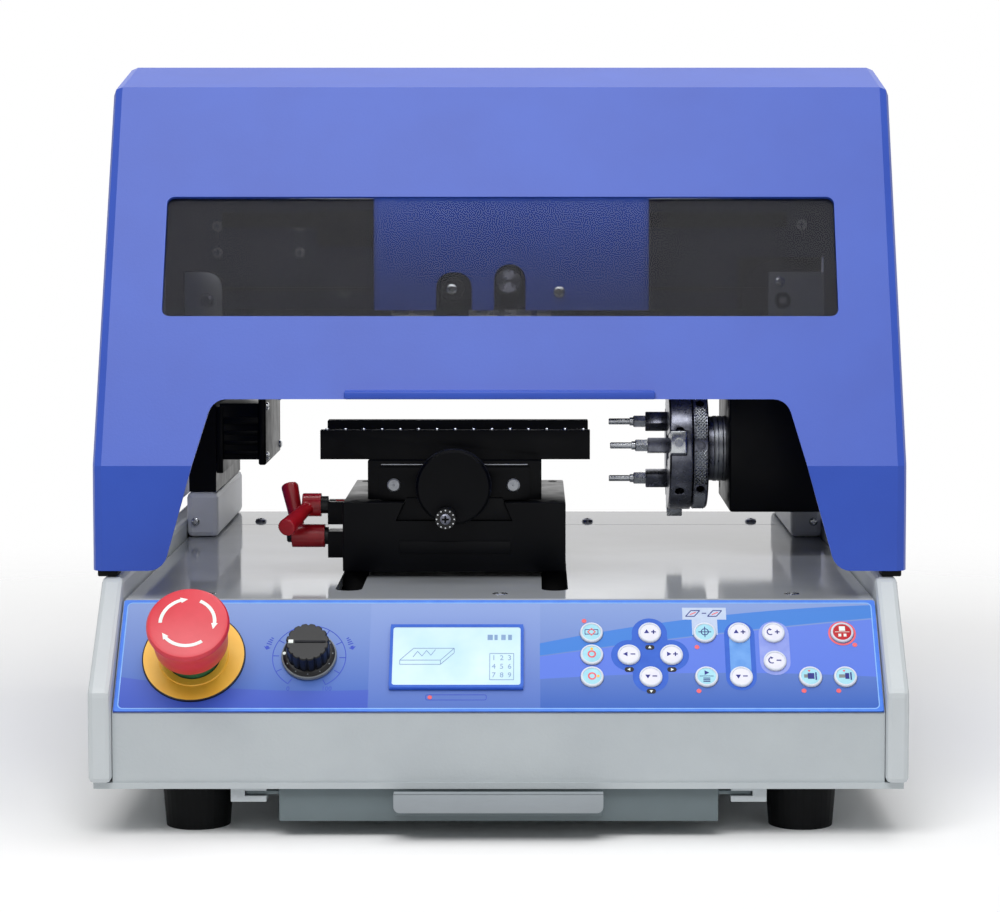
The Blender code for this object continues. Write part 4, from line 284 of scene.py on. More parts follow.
def printed_film():
    """Polyester film printed on its back: blues that fade upwards, with sweeping bands.

    A band's edges are parabolas through their heights at its two ends and its middle.
    """
    material = new_material("printed_polyester_film", "4F7ED6", 0.36, Specular_IOR_Level=0.2)
    tree = material.node_tree
    place = add_node(tree, "ShaderNodeTexCoord").outputs["Object"]
    split = add_node(tree, "ShaderNodeSeparateXYZ", {"Vector": place})
    across, rise = split.outputs["X"], split.outputs["Z"]
    inputs = {"Value": rise, "From Min": PANEL_FOOT * MM, "From Max": PANEL_CREST * MM}
    climb = add_node(tree, "ShaderNodeMapRange", inputs).outputs["Result"]
    ramp = add_node(tree, "ShaderNodeValToRGB", {"Fac": climb})
    ramp.color_ramp.elements[0].color = linear("2056B4")
    ramp.color_ramp.elements[1].color = linear("88A0D6")
    ground = ramp.outputs["Color"]
    for start, middle, end, left, right, code, cover in FILM_BANDS:
        inputs = {"Value": across, "From Min": left * MM, "From Max": right * MM}
        along = add_node(tree, "ShaderNodeMapRange", inputs).outputs["Result"]
        edges = [
            (across, (left - BAND_END_BLUR) * MM, left * MM),
            (across, (right + BAND_END_BLUR) * MM, right * MM),
        ]
        for first, centre, last, inwards in zip(start, middle, end, (1, -1)):
            curve = 2 * (first + last - 2 * centre)
            inputs = {0: along, 1: curve * MM, 2: (last - first - curve) * MM}
            slope = add_node(tree, "ShaderNodeMath", inputs, operation="MULTIPLY_ADD").outputs[0]
            inputs = {0: along, 1: slope, 2: first * MM}
            edge = add_node(tree, "ShaderNodeMath", inputs, operation="MULTIPLY_ADD").outputs[0]
            above = add_node(tree, "ShaderNodeMath", {0: rise, 1: edge}, operation="SUBTRACT")
            edges.append((above.outputs[0], 0.0, inwards * BAND_EDGE_BLUR * MM))
        share = cover
        for value, bare, covered in edges:
            inputs = {"Value": value, "From Min": bare, "From Max": covered, "To Max": share}
            share = add_node(tree, "ShaderNodeMapRange", inputs).outputs["Result"]
        inputs = {0: share, 6: ground, 7: linear(code)}
        ground = add_node(tree, "ShaderNodeMix", inputs, data_type="RGBA").outputs[2]
    drive(material, "Base Color", ground)
    add_grain(material, 0.7 * MM, 0.006 * MM)
    return material


PAINT = {
    "hood": powder_coat("blue_powder_coat", "2449B0", "284FB8", 0.43),
    "base": pebbled_paint(),
    "side": powder_coat("pale_powder_coat", "BFC5C8", "C5CBCE", 0.45),
    "white": powder_coat("white_powder_coat", "E2E5EA", "E9ECF0", 0.4),
    # The tray's pull is coated lighter and the tray darker: painted light on the pull's front,
    # painted shade under the base
    "pull": powder_coat("tray_pull_coat_painted_light", "8E959A", "969DA2", 0.5),
    "tray": powder_coat("grey_green_coat_painted_shade", "5E6A6E", "667377", 0.5),
}
DECK = deck_enamel()
FILM = printed_film()
ACRYLIC = smoked_acrylic()
LCD_GLASS = display_glass()

# Metals: blacks that show their form only by weak slanting shine, and steels that catch light
BLACK_METAL = anodised("black_anodised_aluminium", "020306", "040509", 0.3, 0.42)
GREY_METAL = anodised("dark_anodised_aluminium", "15161C", "1D1F26", 0.3, 0.45)
# Blue-black sheet whose wings past the uprights are painted shade of the hood's inner walls
GUARD_AND_PAINTED_SHADE = anodised("blue_black_sheet_and_painted_shade", "34364A", "3C3E54", 0.35, 0.5)
# Near-black made with the anodised recipe: painted shade for the insides of holes and recesses
PAINTED_SHADE_BLACK = anodised("painted_shade_black", "040406", "08080A", 0.6, 0.8)
BRIGHT_STEEL = turned_steel("turned_steel", "B4B7BB", "C8CBCE", 0.2)
SATIN_STEEL = turned_steel("satin_steel", "83868B", "9A9DA2", 0.34)
DARK_STEEL = turned_steel("blackened_steel", "5A5C66", "7A7C86", 0.24)

# Plastics and rubbers: even colours under a soft sheen, dull on the rubbers
BLACK_PLASTIC = moulded("black_abs", "08090B", "0E0F13", 0.35, Specular_IOR_Level=0.3)
GREY_PLASTIC = moulded("grey_abs", "6C7276", "7A8084", 0.3)
RUBBER = moulded("black_rubber", "030405", "06080A", 0.65, Specular_IOR_Level=0.15)
RED_PLASTIC = moulded("red_polycarbonate", "CE2838", "D63040", 0.36)
LEVER_PLASTIC = moulded("red_nylon", "A8121E", "BC1826", 0.28)
YELLOW_PLASTIC = moulded("yellow_abs", "F2B634", "F6BE40", 0.4)
GREEN_PLASTIC = moulded("green_abs", "1E5A3C", "2A6B48", 0.4)
KEY_PLASTIC = moulded("white_silicone_rubber", "D5DAE6", "DDE3EC", 0.4)

# Inks: flat satin prints on the film, the keys and the display
FACE_WHITE = screen_ink("white_key_ink", "E2E2F2", "EAEAF8")
FACE_CYAN = screen_ink("pale_cyan_key_ink", "9CD4E6", "AEE2F0")
FACE_RED = screen_ink("red_key_ink", "B4141E", "C21C28")
INK_WHITE = screen_ink("white_ink", "E8F2EC", "F4FAF6")
INK_BLACK = screen_ink("black_ink", "0C0A14", "14111C")
INK_NAVY = screen_ink("dark_blue_ink", "20247A", "2A2F86")
INK_DIAL = screen_ink("violet_blue_ink", "3048BC", "3A53C4")
INK_PAD = screen_ink("deep_blue_ink", "2C5CC4", "3365CC")
INK_LIFT = screen_ink("sky_blue_ink", "5E96E0", "74A8EA")
INK_TURN = screen_ink("pale_violet_ink", "8494E0", "96A4E8")
INK_BORDER = screen_ink("border_blue_ink", "467CE4", "5088EA")
INK_LINE = screen_ink("light_blue_ink", "84B4F0", "90BEF4")
INK_PLATE = screen_ink("pale_grey_ink", "B8C8E4", "C6D4EA")
INK_CORAL = screen_ink("coral_ink", "E8606A", "F07078")
INK_SCREEN = screen_ink("display_segment_ink", "7E9CC4", "8CAAD0")

NODE_FINISHES = (
    (PAINT["hood"], "hood head_cover"),
    (PAINT["base"], "base_shell"),
    (PAINT["side"], "left_side_panel right_side_panel"),
    (PAINT["white"], "left_pillar_foot right_pillar_foot"),
    (PAINT["tray"], "chip_tray"),
    (DECK, "deck_plate"),
    (FILM, "control_overlay"),
    (ACRYLIC, "hood_window"),
    (BLACK_METAL, "gantry_frame gearbox_housing side_motor x_carriage spindle_unit"),
    (BLACK_METAL, "vise_carriage vise_body moving_jaw vise_handwheel"),
    (GREY_METAL, "head_disc_knob drive_wheel"),
    (BRIGHT_STEEL, "spindle_shaft hinge_pin idler_pulley"),
    (SATIN_STEEL, "drive_bracket"),
    (DARK_STEEL, "chuck_body scroll_ring chuck_jaw_1 chuck_jaw_2 chuck_jaw_3"),
    (BLACK_PLASTIC, "head_clamp_knob crank_knob speed_knob"),
    (RED_PLASTIC, "estop_head"),
    (GREEN_PLASTIC, "estop_stem"),
    (LEVER_PLASTIC, "upper_clamp_lever lower_clamp_lever"),
    (RUBBER, "drive_belt front_left_foot front_right_foot rear_left_foot rear_right_foot"),
    (INK_PAD, "display"),
)


def give_finishes():
    """Each solid gets the finish of the real piece. The keys have no row above."""
    finishes = {name: finish for finish, names in NODE_FINISHES for name in names.split()}
    for name, node in NODES.items():
        node.data.materials.clear()
        node.data.materials.append(finishes.get(name, KEY_PLASTIC))


give_finishes()


# Places and outlines


def shift(x, y, z=0.0):
    return Matrix.Translation((x, y, z))


def seat(x, y, z, turn=UP):
    """A place in millimetres from MACHINE's origin."""
    return MACHINE @ shift(x, y, z) @ turn


def panel_seat(x, slope, height=0.0):
    return PANEL @ shift(x, slope, height)


def panel_middle(node):
    """Where a node stands on the panel: along it and up its slope, in millimetres."""
    low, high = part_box(node)
    place = PANEL.inverted() @ ((low + high) / 2)
    return place.x, place.y


def at(radius, turn, middle=(0, 0)):
    """The point at a radius and an angle in degrees from a middle."""
    turn = math.radians(turn)
    return middle[0] + radius * math.cos(turn), middle[1] + radius * math.sin(turn)


def arc(radius, start, end, steps=12, middle=(0, 0)):
    """Points of an arc between two angles in degrees."""
    return [at(radius, start + (end - start) * i / steps, middle) for i in range(steps + 1)]


def circle(radius, middle=(0, 0), steps=48):
    return arc(radius, 0, 360, steps, middle)[:-1]


def rounded(low, high, radius, steps=6):
    """Points of a rectangle with rounded corners, from its right top corner round."""
    (left, bottom), (right, top) = low, high
    corners = (
        (right - radius, top - radius, 0),
        (left + radius, top - radius, 90),
        (left + radius, bottom + radius, 180),
        (right - radius, bottom + radius, 270),
    )
    return [p for x, y, turn in corners for p in arc(radius, turn, turn + 90, steps, (x, y))]


def lobed(radius, lobes, depth, steps=8):
    """Points of a circle with shallow scallops."""
    count = lobes * steps
    radii = [radius - depth * math.sin(math.pi * (i % steps) / steps) for i in range(count)]
    return [at(r, 360 * i / count) for i, r in enumerate(radii)]


def pairs(items):
    """Each item with the next one, and the last with the first."""
    return list(zip(items, items[1:] + items[:1]))


# Shapes


def round_edges(bm, edges, width, segments=2):
    bmesh.ops.bevel(
        bm,
        geom=list(edges),
        offset=width,
        offset_type="OFFSET",
        affect="EDGES",
        segments=segments,
        profile=0.5,
        material=-1,
        clamp_overlap=True,
    )


def block(low, high, rounding=0.0):
    """A block between two corners, with rounded edges."""
    bm = bmesh.new()
    low, high = Vector(low), Vector(high)
    bmesh.ops.create_cube(bm, size=1)
    bmesh.ops.scale(bm, vec=high - low, verts=bm.verts)
    bmesh.ops.translate(bm, vec=(low + high) / 2, verts=bm.verts)
    if rounding:
        round_edges(bm, bm.edges, rounding)
    return bm


def turned(profile, steps=48):
    """A solid of revolution about Z from points of radius and height, from top to bottom.

    A profile that starts off the axis is closed, so that it makes a ring.
    """
    bm = bmesh.new()
    verts = [bm.verts.new((radius, 0, height)) for radius, height in profile]
    ends = pairs(verts) if profile[0][0] else zip(verts, verts[1:])
    edges = [bm.edges.new(pair) for pair in ends]
    bmesh.ops.spin(
        bm,
        geom=verts + edges,
        cent=(0, 0, 0),
        axis=(0, 0, 1),
        angle=2 * math.pi,
        steps=steps,
        use_merge=True,
    )
    bmesh.ops.remove_doubles(bm, verts=bm.verts, dist=1e-4)
    bmesh.ops.recalc_face_normals(bm, faces=bm.faces)
    return bm


def draw_up(bm, faces, height):
    """Draws faces up by a height. The answer is what has moved."""
    grown = bmesh.ops.extrude_face_region(bm, geom=faces)["geom"]
    raised = [part for part in grown if isinstance(part, bmesh.types.BMVert)]
    bmesh.ops.translate(bm, vec=(0, 0, height), verts=raised)
    return raised


def slab(points, low, high, rounding=0.0):
    """An outline in X and Y, drawn up from one height to another."""
    bm = bmesh.new()
    draw_up(bm, [bm.faces.new([bm.verts.new((x, y, low)) for x, y in points])], high - low)
    bmesh.ops.recalc_face_normals(bm, faces=bm.faces)
    if rounding:
        top = [edge for edge in bm.edges if all(abs(v.co.z - high) < 1e-4 for v in edge.verts)]
        round_edges(bm, top, rounding)
    return bm


def hoop(outer, inner, low, high):
    """A flat band between two outlines with the same number of points."""
    bm = bmesh.new()
    edges = []
    for points in (outer, inner):
        verts = [bm.verts.new((x, y, low)) for x, y in points]
        edges += [bm.edges.new(pair) for pair in pairs(verts)]
    draw_up(bm, bmesh.ops.bridge_loops(bm, edges=edges)["faces"], high - low)
    bmesh.ops.recalc_face_normals(bm, faces=bm.faces)
    return bm


def line(start, end, width, low, high):
    """A straight printed line of a width."""
    start, end = Vector(start), Vector(end)
    side = (end - start).normalized().orthogonal() * width / 2
    return slab([tuple(p) for p in (start + side, start - side, end - side, end + side)], low, high)


def curved_arrow(radius, width, start, end, head, head_half, low, high):
    """An arc with an arrowhead at its end. The head takes the last angle of the arc."""
    neck = end - math.copysign(head, end - start)
    outer = arc(radius + width / 2, start, neck)
    tip = [at(radius + head_half, neck), at(radius, end), at(radius - head_half, neck)]
    return slab(outer + tip + arc(radius - width / 2, neck, start), low, high)


def numerals(text, size, low, high):
    """Plain numbers, centred on their place and drawn up from one height to another."""
    curve = bpy.data.curves.new("numerals", "FONT")
    curve.body = text
    curve.size = size
    curve.align_x = curve.align_y = "CENTER"
    curve.resolution_u = 3
    curve.extrude = (high - low) / 2
    carrier = bpy.data.objects.new("numerals", curve)
    mesh = bpy.data.meshes.new_from_object(carrier)
    bm = bmesh.new()
    bm.from_mesh(mesh)
    bmesh.ops.remove_doubles(bm, verts=bm.verts, dist=1e-4)
    bmesh.ops.translate(bm, vec=(0, 0, (high + low) / 2), verts=bm.verts)
    bpy.data.objects.remove(carrier)
    bpy.data.curves.remove(curve)
    bpy.data.meshes.remove(mesh)
    return bm


def moved(bm, matrix):
    bmesh.ops.transform(bm, matrix=matrix, verts=bm.verts)
    return bm


def node_copy(name):
    """A copy of a node's mesh in metres, with its triangles merged into flat faces."""
    bm = bmesh.new()
    bm.from_mesh(NODES[name].data)
    bmesh.ops.remove_doubles(bm, verts=bm.verts, dist=0.002 * MM)
    return flattened(bm)


def flattened(bm):
    bmesh.ops.dissolve_limit(bm, angle_limit=math.radians(1), verts=bm.verts, edges=bm.edges)
    return bm


def soften(bm, width):
    """Rounds the sharp edges of a shape in metres. The width is in millimetres."""
    limit = math.radians(30)
    sharp = [edge for edge in bm.edges if edge.is_manifold and edge.calc_face_angle(0) > limit]
    round_edges(bm, sharp, width * MM)
    return bm


def as_solid(bm):
    mesh = bpy.data.meshes.new("working_solid")
    bm.to_mesh(mesh)
    bm.free()
    solid = bpy.data.objects.new("working_solid", mesh)
    bpy.context.scene.collection.objects.link(solid)
    return solid


def evaluated(solids):
    """The shape that the modifiers of the first solid make. The solids are taken away."""
    bpy.context.view_layer.update()
    ready = solids[0].evaluated_get(bpy.context.evaluated_depsgraph_get())
    shape = bmesh.new()
    shape.from_mesh(ready.to_mesh())
    ready.to_mesh_clear()
    for solid in solids:
        mesh = solid.data
        bpy.data.objects.remove(solid)
        bpy.data.meshes.remove(mesh)
    return shape


def melted(bm, voxel, passes):
    """A shape in metres with its joins and edges melted smooth, as in a moulding."""
    solid = as_solid(bm)
    remesh = solid.modifiers.new("melt", "REMESH")
    remesh.mode = "VOXEL"
    remesh.voxel_size = voxel * MM
    relax = solid.modifiers.new("relax", "SMOOTH")
    relax.factor = 0.5
    relax.iterations = passes
    return evaluated([solid])


def carve(bm, tools):
    """Cuts closed shapes out of another."""
    solids = [as_solid(shape) for shape in (bm, *tools)]
    for tool in solids[1:]:
        cut = solids[0].modifiers.new("cut", "BOOLEAN")
        cut.operation = "DIFFERENCE"
        cut.solver = "EXACT"
        cut.object = tool
    return evaluated(solids)


# Plain land that a knurling tool leaves round the middle of a hole
KNURL_LAND = 3.4


def knurl(radius, low, high, columns, rows, depth, holes=()):
    """A band of small pyramids round Z, as a knurling tool leaves them, but for its holes."""
    bm = bmesh.new()
    span, rise = 360 / columns, (high - low) / rows

    def corner(row, column, out=0.0):
        return bm.verts.new((*at(radius + out, span * column), low + rise * row))

    for row in range(1, rows):
        for index in range(columns):
            column = index + 0.5 * (row % 2)
            away = [abs((span * column - hole + 180) % 360 - 180) for hole in holes]
            if away and math.radians(min(away)) * radius < KNURL_LAND:
                continue
            ends = [(row - 1, column), (row, column + 0.5), (row + 1, column), (row, column - 0.5)]
            tip = corner(row, column, depth)
            for first, second in pairs([corner(*end) for end in ends]):
                bm.faces.new((first, second, tip))
    bmesh.ops.remove_doubles(bm, verts=bm.verts, dist=1e-3)
    bmesh.ops.recalc_face_normals(bm, faces=bm.faces)
    return bm


def radial_pin(radius, start, end, turn, height):
    """A rod that points away from Z at an angle, at a height, for cutting holes."""
    rod = turned([(0, end), (radius, end), (radius, start), (0, start)], 24)
    lay = Matrix.Rotation(math.radians(turn), 4, "Z") @ shift(0, 0, height)
    return moved(rod, lay @ RIGHT)


def screw(radius, recess="cross", sunk=False):
    """A machine screw's head about Z: domed or countersunk, with its driving recess."""
    top = 0.15 if sunk else radius * 0.62
    profile = [(0, top), (radius * 0.94, top), (radius, 0), (radius * 0.6, -1.2), (0, -1.2)]
    if not sunk:
        profile = [(0, top), (radius * 0.55, top * 0.93), (radius * 0.88, top * 0.6)]
        profile += [(radius, 0), (radius, -0.4), (0, -0.4)]
    if recess == "hex":
        tools = [slab(arc(radius * 0.5, 0, 300, 5), top - radius * 0.5, top + 1)]
    else:
        half, width = radius * 0.58, radius * 0.17
        bars = ((half, width), (width, half))
        tools = [block((-x, -y, top - half), (x, y, top + 1)) for x, y in bars]
    return carve(turned(profile, 32), tools)


def screws(points, turn, radius, **kind):
    """Screws of one kind at points of the machine, with their heads turned one way."""
    return [moved(screw(radius, **kind), shift(*point) @ turn) for point in points]


def studs(profile, steps, points):
    """The same small turned shape at each of some points."""
    return [moved(turned(profile, steps), shift(*point)) for point in points]


# Pieces


def smooth(bm, crease):
    """Smooth faces, with the edges that turn more than the crease angle kept sharp."""
    for face in bm.faces:
        face.smooth = True
    for edge in bm.edges:
        edge.smooth = edge.is_manifold and edge.calc_face_angle(0) < math.radians(crease)


def laid(finish, place, *shapes):
    """Parts of one finish at one place."""
    return [(shape, finish, place) for shape in shapes]


def make_piece(name, body, parts, replaces=(), crease=35):
    """Joins parts of (shape, finish, seat) into one piece that rides on a body."""
    mesh = bpy.data.meshes.new(name)
    whole = bmesh.new()
    finishes = []
    for shape, finish, place in parts:
        if finish not in finishes:
            finishes.append(finish)
            mesh.materials.append(finish)
        moved(shape, place)
        smooth(shape, crease)
        for face in shape.faces:
            face.material_index = finishes.index(finish)
        part = bpy.data.meshes.new("part")
        shape.to_mesh(part)
        shape.free()
        whole.from_mesh(part)
        bpy.data.meshes.remove(part)
    whole.to_mesh(mesh)
    whole.free()
    piece = bpy.data.objects.new(name, mesh)
    bpy.context.scene.collection.objects.link(piece)
    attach(piece, body)
    if replaces:
        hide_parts(*replaces)
    return piece


def make_panel_print():
    """Border, pads, marks and plates printed on the film, one thin layer over another."""
    low = FILM_TOP - 0.05
    base, over, top = (FILM_TOP + layers * INK for layers in (1, 2, 3))
    outer = rounded((-187.9, 0.4), (187.9, 64.4), 1.2)
    inner = rounded((-186.3, 1.7), (186.3, 62.9), 2.6)
    thin = rounded((-185.8, 2.2), (185.8, 62.4), 2.2)
    parts = laid(INK_BORDER, PANEL, hoop(outer, inner, low, base))
    parts += laid(INK_LINE, PANEL, hoop(inner, thin, low, base))

    # Pads under the arrow keys and the two rows of paired keys
    lobes = []
    for index, middle in enumerate(((85.2, 32.2), (74.7, 44.8), (64.2, 32.2), (74.7, 19.8))):
        lobes += arc(8.8, 90 * index - 100, 90 * index + 100, 20, middle)
    row = slab(rounded((111.8, 12.2), (126.9, 51.6), 7.3), low, base)
    parts += laid(INK_PAD, PANEL, slab(lobes, low, base), row)
    parts += laid(INK_LIFT, PANEL, slab(rounded((114.2, 14.4), (124.5, 49.4), 5.0), low, over))
    parts += laid(INK_TURN, PANEL, slab(rounded((129.0, 20.9), (144.0, 51.8), 7.3), low, base))

    # Plate over the pointer key, with two slanted frames joined by a dash
    plate = [(91.4, 59.9), (91.4, 52.9), (96.0, 52.9), (96.0, 44.0)]
    plate += [(108.7, 44.0), (108.7, 52.9), (113.3, 52.9), (113.3, 59.9)]
    parts += laid(INK_PLATE, PANEL, slab(plate, low, base))
    navy, coral = [line((101.2, 56.6), (103.4, 56.6), 0.45, low, over)], []
    for left in (93.0, 104.0):
        corners = [(left, 54.8), (left + 4.4, 54.8), (left + 7.2, 58.2), (left + 2.8, 58.2)]
        navy += [line(*ends, 0.45, low, over) for ends in pairs(corners)]
        coral.append(line((left + 2.2, 55.8), (left + 5.2, 57.2), 0.5, low, over))
    parts += laid(INK_NAVY, PANEL, *navy)

    # Black pills with white arrowheads beside the arrow keys
    for x, slope, turn in ((74.7, 36.7, 90), (64.3, 24.0, 180), (85.3, 24.0, 0), (74.8, 11.7, 270)):
        pill = rounded((x - 2.3, slope - 1.35), (x + 2.3, slope + 1.35), 1.34)
        arrowhead = arc(0.95, turn, turn + 240, 2, (x, slope))
        parts += laid(INK_BLACK, PANEL, slab(pill, low, over))
        parts += laid(INK_WHITE, PANEL, slab(arrowhead, low, top))

    # Coral dots, the ring round the stop key and the bar under the display
    dots = ((98.1, 36.9), (98.2, 11.8), (42.3, 52.1), (176.4, 38.2), (149.7, 11.9), (166.7, 11.9))
    coral += [slab(circle(1.2, dot, 20), low, over) for dot in dots]
    coral.append(slab(circle(1.1, (-33.7, 8.2), 20), low, over))
    coral.append(hoop(circle(6.9, (170.5, 44.8)), circle(5.9, (170.5, 44.8)), low, over))
    parts += laid(INK_CORAL, PANEL, *coral)
    bar = rounded((-35.9, 6.6), (-5.9, 9.8), 1.0), rounded((-35.6, 6.9), (-6.2, 9.5), 0.8)
    parts += laid(INK_DIAL, PANEL, hoop(*bar, low, base))

    # Scale of the speed knob, with arrowheads and shrinking bars on both sides
    dial = slab(arc(18.3, -61, 237.5, 60) + arc(17.9, 237.5, -61, 60), low, base)
    marks = [dial]
    for step in range(11):
        turn = 237.5 - 29.85 * step
        marks.append(line(at(14.9, turn), at(18.1, turn), 0.4, low, base))
    for side, tip in ((1, 12), (-1, 168)):
        marks.append(curved_arrow(21.8, 1.4, tip + side * 5, tip - side, 4.2, 1.8, low, base))
        for index, length in enumerate((2.6, 2.2, 1.8, 1.4)):
            turn = tip + side * (8.5 + 3.2 * index)
            ends = at(21.6 - length / 2, turn), at(21.6 + length / 2, turn)
            marks.append(line(*ends, 0.55, low, base))
    for text, x in (("0", -9.6), ("100", 9.4)):
        marks.append(moved(numerals(text, 3.4, low, base), shift(x, -18.2)))
    parts += laid(INK_DIAL, panel_seat(*panel_middle("speed_knob")), *marks)
    make_piece("panel_print", "machine", parts)


def make_stop_button():
    """Emergency stop: yellow disc with a black rim, green ring and flared red head."""
    place = panel_seat(*STOP_PLACE)
    disc = turned([(13.6, 2.6), (24.9, 2.6), (24.9, 1.2), (13.6, 1.2)], 96)
    step = turned([(13.6, 3.3), (16.9, 3.25), (17.3, 2.6), (13.6, 2.6)], 96)
    rim = turned([(24.9, 2.62), (25.5, 2.5), (25.6, 1.2), (24.9, 1.2)], 96)
    parts = laid(YELLOW_PLASTIC, place, disc, step) + laid(INK_BLACK, place, rim)
    make_piece("stop_button_plate", "machine", parts)
    head = [(0, 34.0), (17.6, 33.9), (19.4, 33.4), (20.2, 32.4), (20.3, 31.2), (19.9, 29.6)]
    head += [(19.1, 26.8), (18.5, 22.0), (18.1, 15.2), (17.7, 14.2), (16.2, 13.9), (0, 13.9)]
    ring = [(13.4, 13.9), (16.1, 13.9), (16.1, 12.9), (15.6, 12.5), (13.4, 12.5)]
    sweeps = ((181, 93), (66, -17), (-54, -153))
    arrows = [curved_arrow(13.2, 1.7, *sweep, 15, 1.6, 33.8, 34.06) for sweep in sweeps]
    parts = laid(RED_PLASTIC, place, turned(head, 96)) + laid(INK_WHITE, place, *arrows)
    parts += laid(GREEN_PLASTIC, place, turned(ring, 64))
    make_piece("stop_button_head", "stop_head", parts, ["estop_head"])


def make_speed_knob():
    """Speed knob: a fluted cap on a skirt, with a white mark, a ridge, skirt dots and a grey ring
    at the skirt's foot as a painted highlight.
    """
    place = panel_seat(*panel_middle("speed_knob"))
    skirt = [(0, 5.4), (10.9, 5.4), (12.4, 4.6), (12.9, 4.0), (12.9, 1.8), (0, 1.8)]
    # The grey ring round the skirt's lower edge is a painted highlight of its glossy rim
    rim = [(12.7, 4.1), (13.5, 3.7), (13.75, 2.9), (13.5, 1.9), (12.7, 1.8)]
    cap = bmesh.new()
    bmesh.ops.create_circle(cap, cap_ends=True, segments=144, radius=10.75)
    for vert in cap.verts:
        turn = math.atan2(vert.co.y, vert.co.x)
        flute = 0.8 * max(0.0, math.cos(16 * turn)) ** 2
        vert.co *= 1 - flute / vert.co.length
    for height, scale in ((10.2, 0.985), (0.5, 0.95)):
        face = max(cap.faces, key=lambda f: (f.calc_center_median().z, len(f.verts)))
        raised = draw_up(cap, [face], height)
        bmesh.ops.scale(cap, vec=(scale, scale, 1), verts=raised)
        bmesh.ops.delete(cap, geom=[face], context="FACES_ONLY")
    bmesh.ops.recalc_face_normals(cap, faces=cap.faces)
    ridge = block((-6.2, -0.55, 15.6), (9.0, 0.55, 16.35), 0.2)
    mark = block((-9.3, -0.95, 15.4), (-6.9, 0.95, 16.4), 0.15)
    spot = studs([(0, 5.3), (0.8, 5.2), (0.8, 4.0), (0, 4.0)], 16, [(-12.0, 0)])
    ring = [at(11.8, 180 + 30 * step) for step in range(1, 12)]
    dots = studs([(0, 5.15), (0.35, 5.1), (0.35, 4.0), (0, 4.0)], 10, ring)
    parts = laid(BLACK_PLASTIC, place, turned(skirt, 64), moved(cap, shift(0, 0, 5.2)))
    parts += laid(GREY_PLASTIC, place, turned(rim, 64), *dots)
    parts += laid(GREY_METAL, place, ridge) + laid(INK_WHITE, place, mark, *spot)
    make_piece("speed_knob_cap", "knob", parts, ["speed_knob"])


# Where the arrow keys' marks point, in degrees, and the keys with a cyan face
ARROW_KEYS = {"x_minus": 180, "x_plus": 0, "y_minus": 270, "y_plus": 90}
ARROW_KEYS |= {"z_minus": 270, "z_plus": 90}
CYAN_KEYS = ("flat_mode", "ring_outside", "ring_inside", "pointer", "start")
CYAN_KEYS += ("clamp_open", "clamp_close")


def key_marks(stem, place):
    """The printed marks of a key: plain signs and small drawings."""
    low, high = 0.2, 0.46
    navy, coral, parts = [], [], []
    if stem.endswith(("plus", "minus")):
        navy.append(line((0.75, 0), (3.05, 0), 0.6, low, high))
        if stem.endswith("plus"):
            navy.append(line((1.9, -1.15), (1.9, 1.15), 0.6, low, high))
        if stem in ARROW_KEYS:
            turn = ARROW_KEYS[stem]
            navy.append(slab(arc(1.45, turn, turn + 240, 2, (-1.5, 0)), low, high))
        else:
            arrow = curved_arrow(1.6, 0.55, 300, 60, 50, 0.8, low, high)
            navy.append(moved(arrow, shift(-1.5, 0)))
    elif stem == "flat_mode":
        inner = rounded((-3.05, -1.15), (3.05, 1.15), 0.2, 2)
        navy.append(hoop(rounded((-3.4, -1.5), (3.4, 1.5), 0.4, 2), inner, low, high))
        coral.append(hoop(arc(2.2, 0, 270, 3), arc(1.5, 0, 270, 3), low, high + INK))
    elif stem.startswith("ring"):
        coral.append(hoop(circle(2.1, steps=24), circle(1.3, steps=24), low, high))
        spot = at(3.0, 90 if stem == "ring_outside" else 0)
        parts += laid(YELLOW_PLASTIC, place, slab(circle(0.75, spot, 12), low, high))
    elif stem == "pointer":
        navy.append(hoop(circle(2.0, steps=24), circle(1.55, steps=24), low, high))
        navy.append(line((-3.2, 0), (3.2, 0), 0.4, low, high))
        navy.append(line((0, -3.0), (0, 3.0), 0.4, low, high))
    elif stem == "start":
        navy.append(slab(arc(1.5, 0, 240, 2, (-0.2, 1.9)), low, high))
        navy.append(line((-3.4, 0), (3.4, 0), 0.25, low, high))
        navy += [line((-1.7, y), (1.7, y), 0.45, low, high) for y in (-1.2, -2.1, -3.0)]
    elif stem == "stop":
        white = [block((x - 0.7, -2.7, low), (x + 0.7, -1.1, high)) for x in (-1.3, 1.3)]
        white.append(block((-1.5, 0.6, low), (1.5, 3.2, high)))
        white.append(line((-3.6, 0), (3.6, 0), 0.25, low, high))
        parts += laid(INK_WHITE, place, *white)
    else:
        reach = 3.0 if stem == "clamp_open" else 1.8
        parts += laid(GREY_PLASTIC, place, block((-3.2, -0.9, low), (1.6, 0.9, high)))
        navy.append(block((1.6 - reach, -1.6, low), (1.8, 1.6, high + INK)))
        navy.append(block((2.3, -2.1, low), (3.0, 2.1, high)))
        coral.append(slab(arc(0.8, 270, 510, 2, (-0.6, 3.0)), low, high))
    return parts + laid(INK_NAVY, place, *navy) + laid(INK_CORAL, place, *coral)


def make_keys():
    """A raised rim, a domed face and printed marks on each key."""
    rim = [(4.55, 0.25), (4.8, 0.55), (5.2, 0.5), (5.62, 0.15), (5.68, -0.05), (4.55, -0.05)]
    dome = [(0, 0.42), (2.4, 0.38), (3.9, 0.28), (4.6, 0.15), (4.6, -0.05), (0, -0.05)]
    for name in NODES:
        if not name.endswith("_key"):
            continue
        stem = name.removesuffix("_key")
        place = panel_seat(*panel_middle(name), KEY_TOP)
        face = FACE_CYAN if stem in CYAN_KEYS else FACE_RED if stem == "stop" else FACE_WHITE
        parts = laid(KEY_PLASTIC, place, turned(rim, 40)) + laid(face, place, turned(dome, 40))
        make_piece(f"{name}_cap", name, parts + key_marks(stem, place))


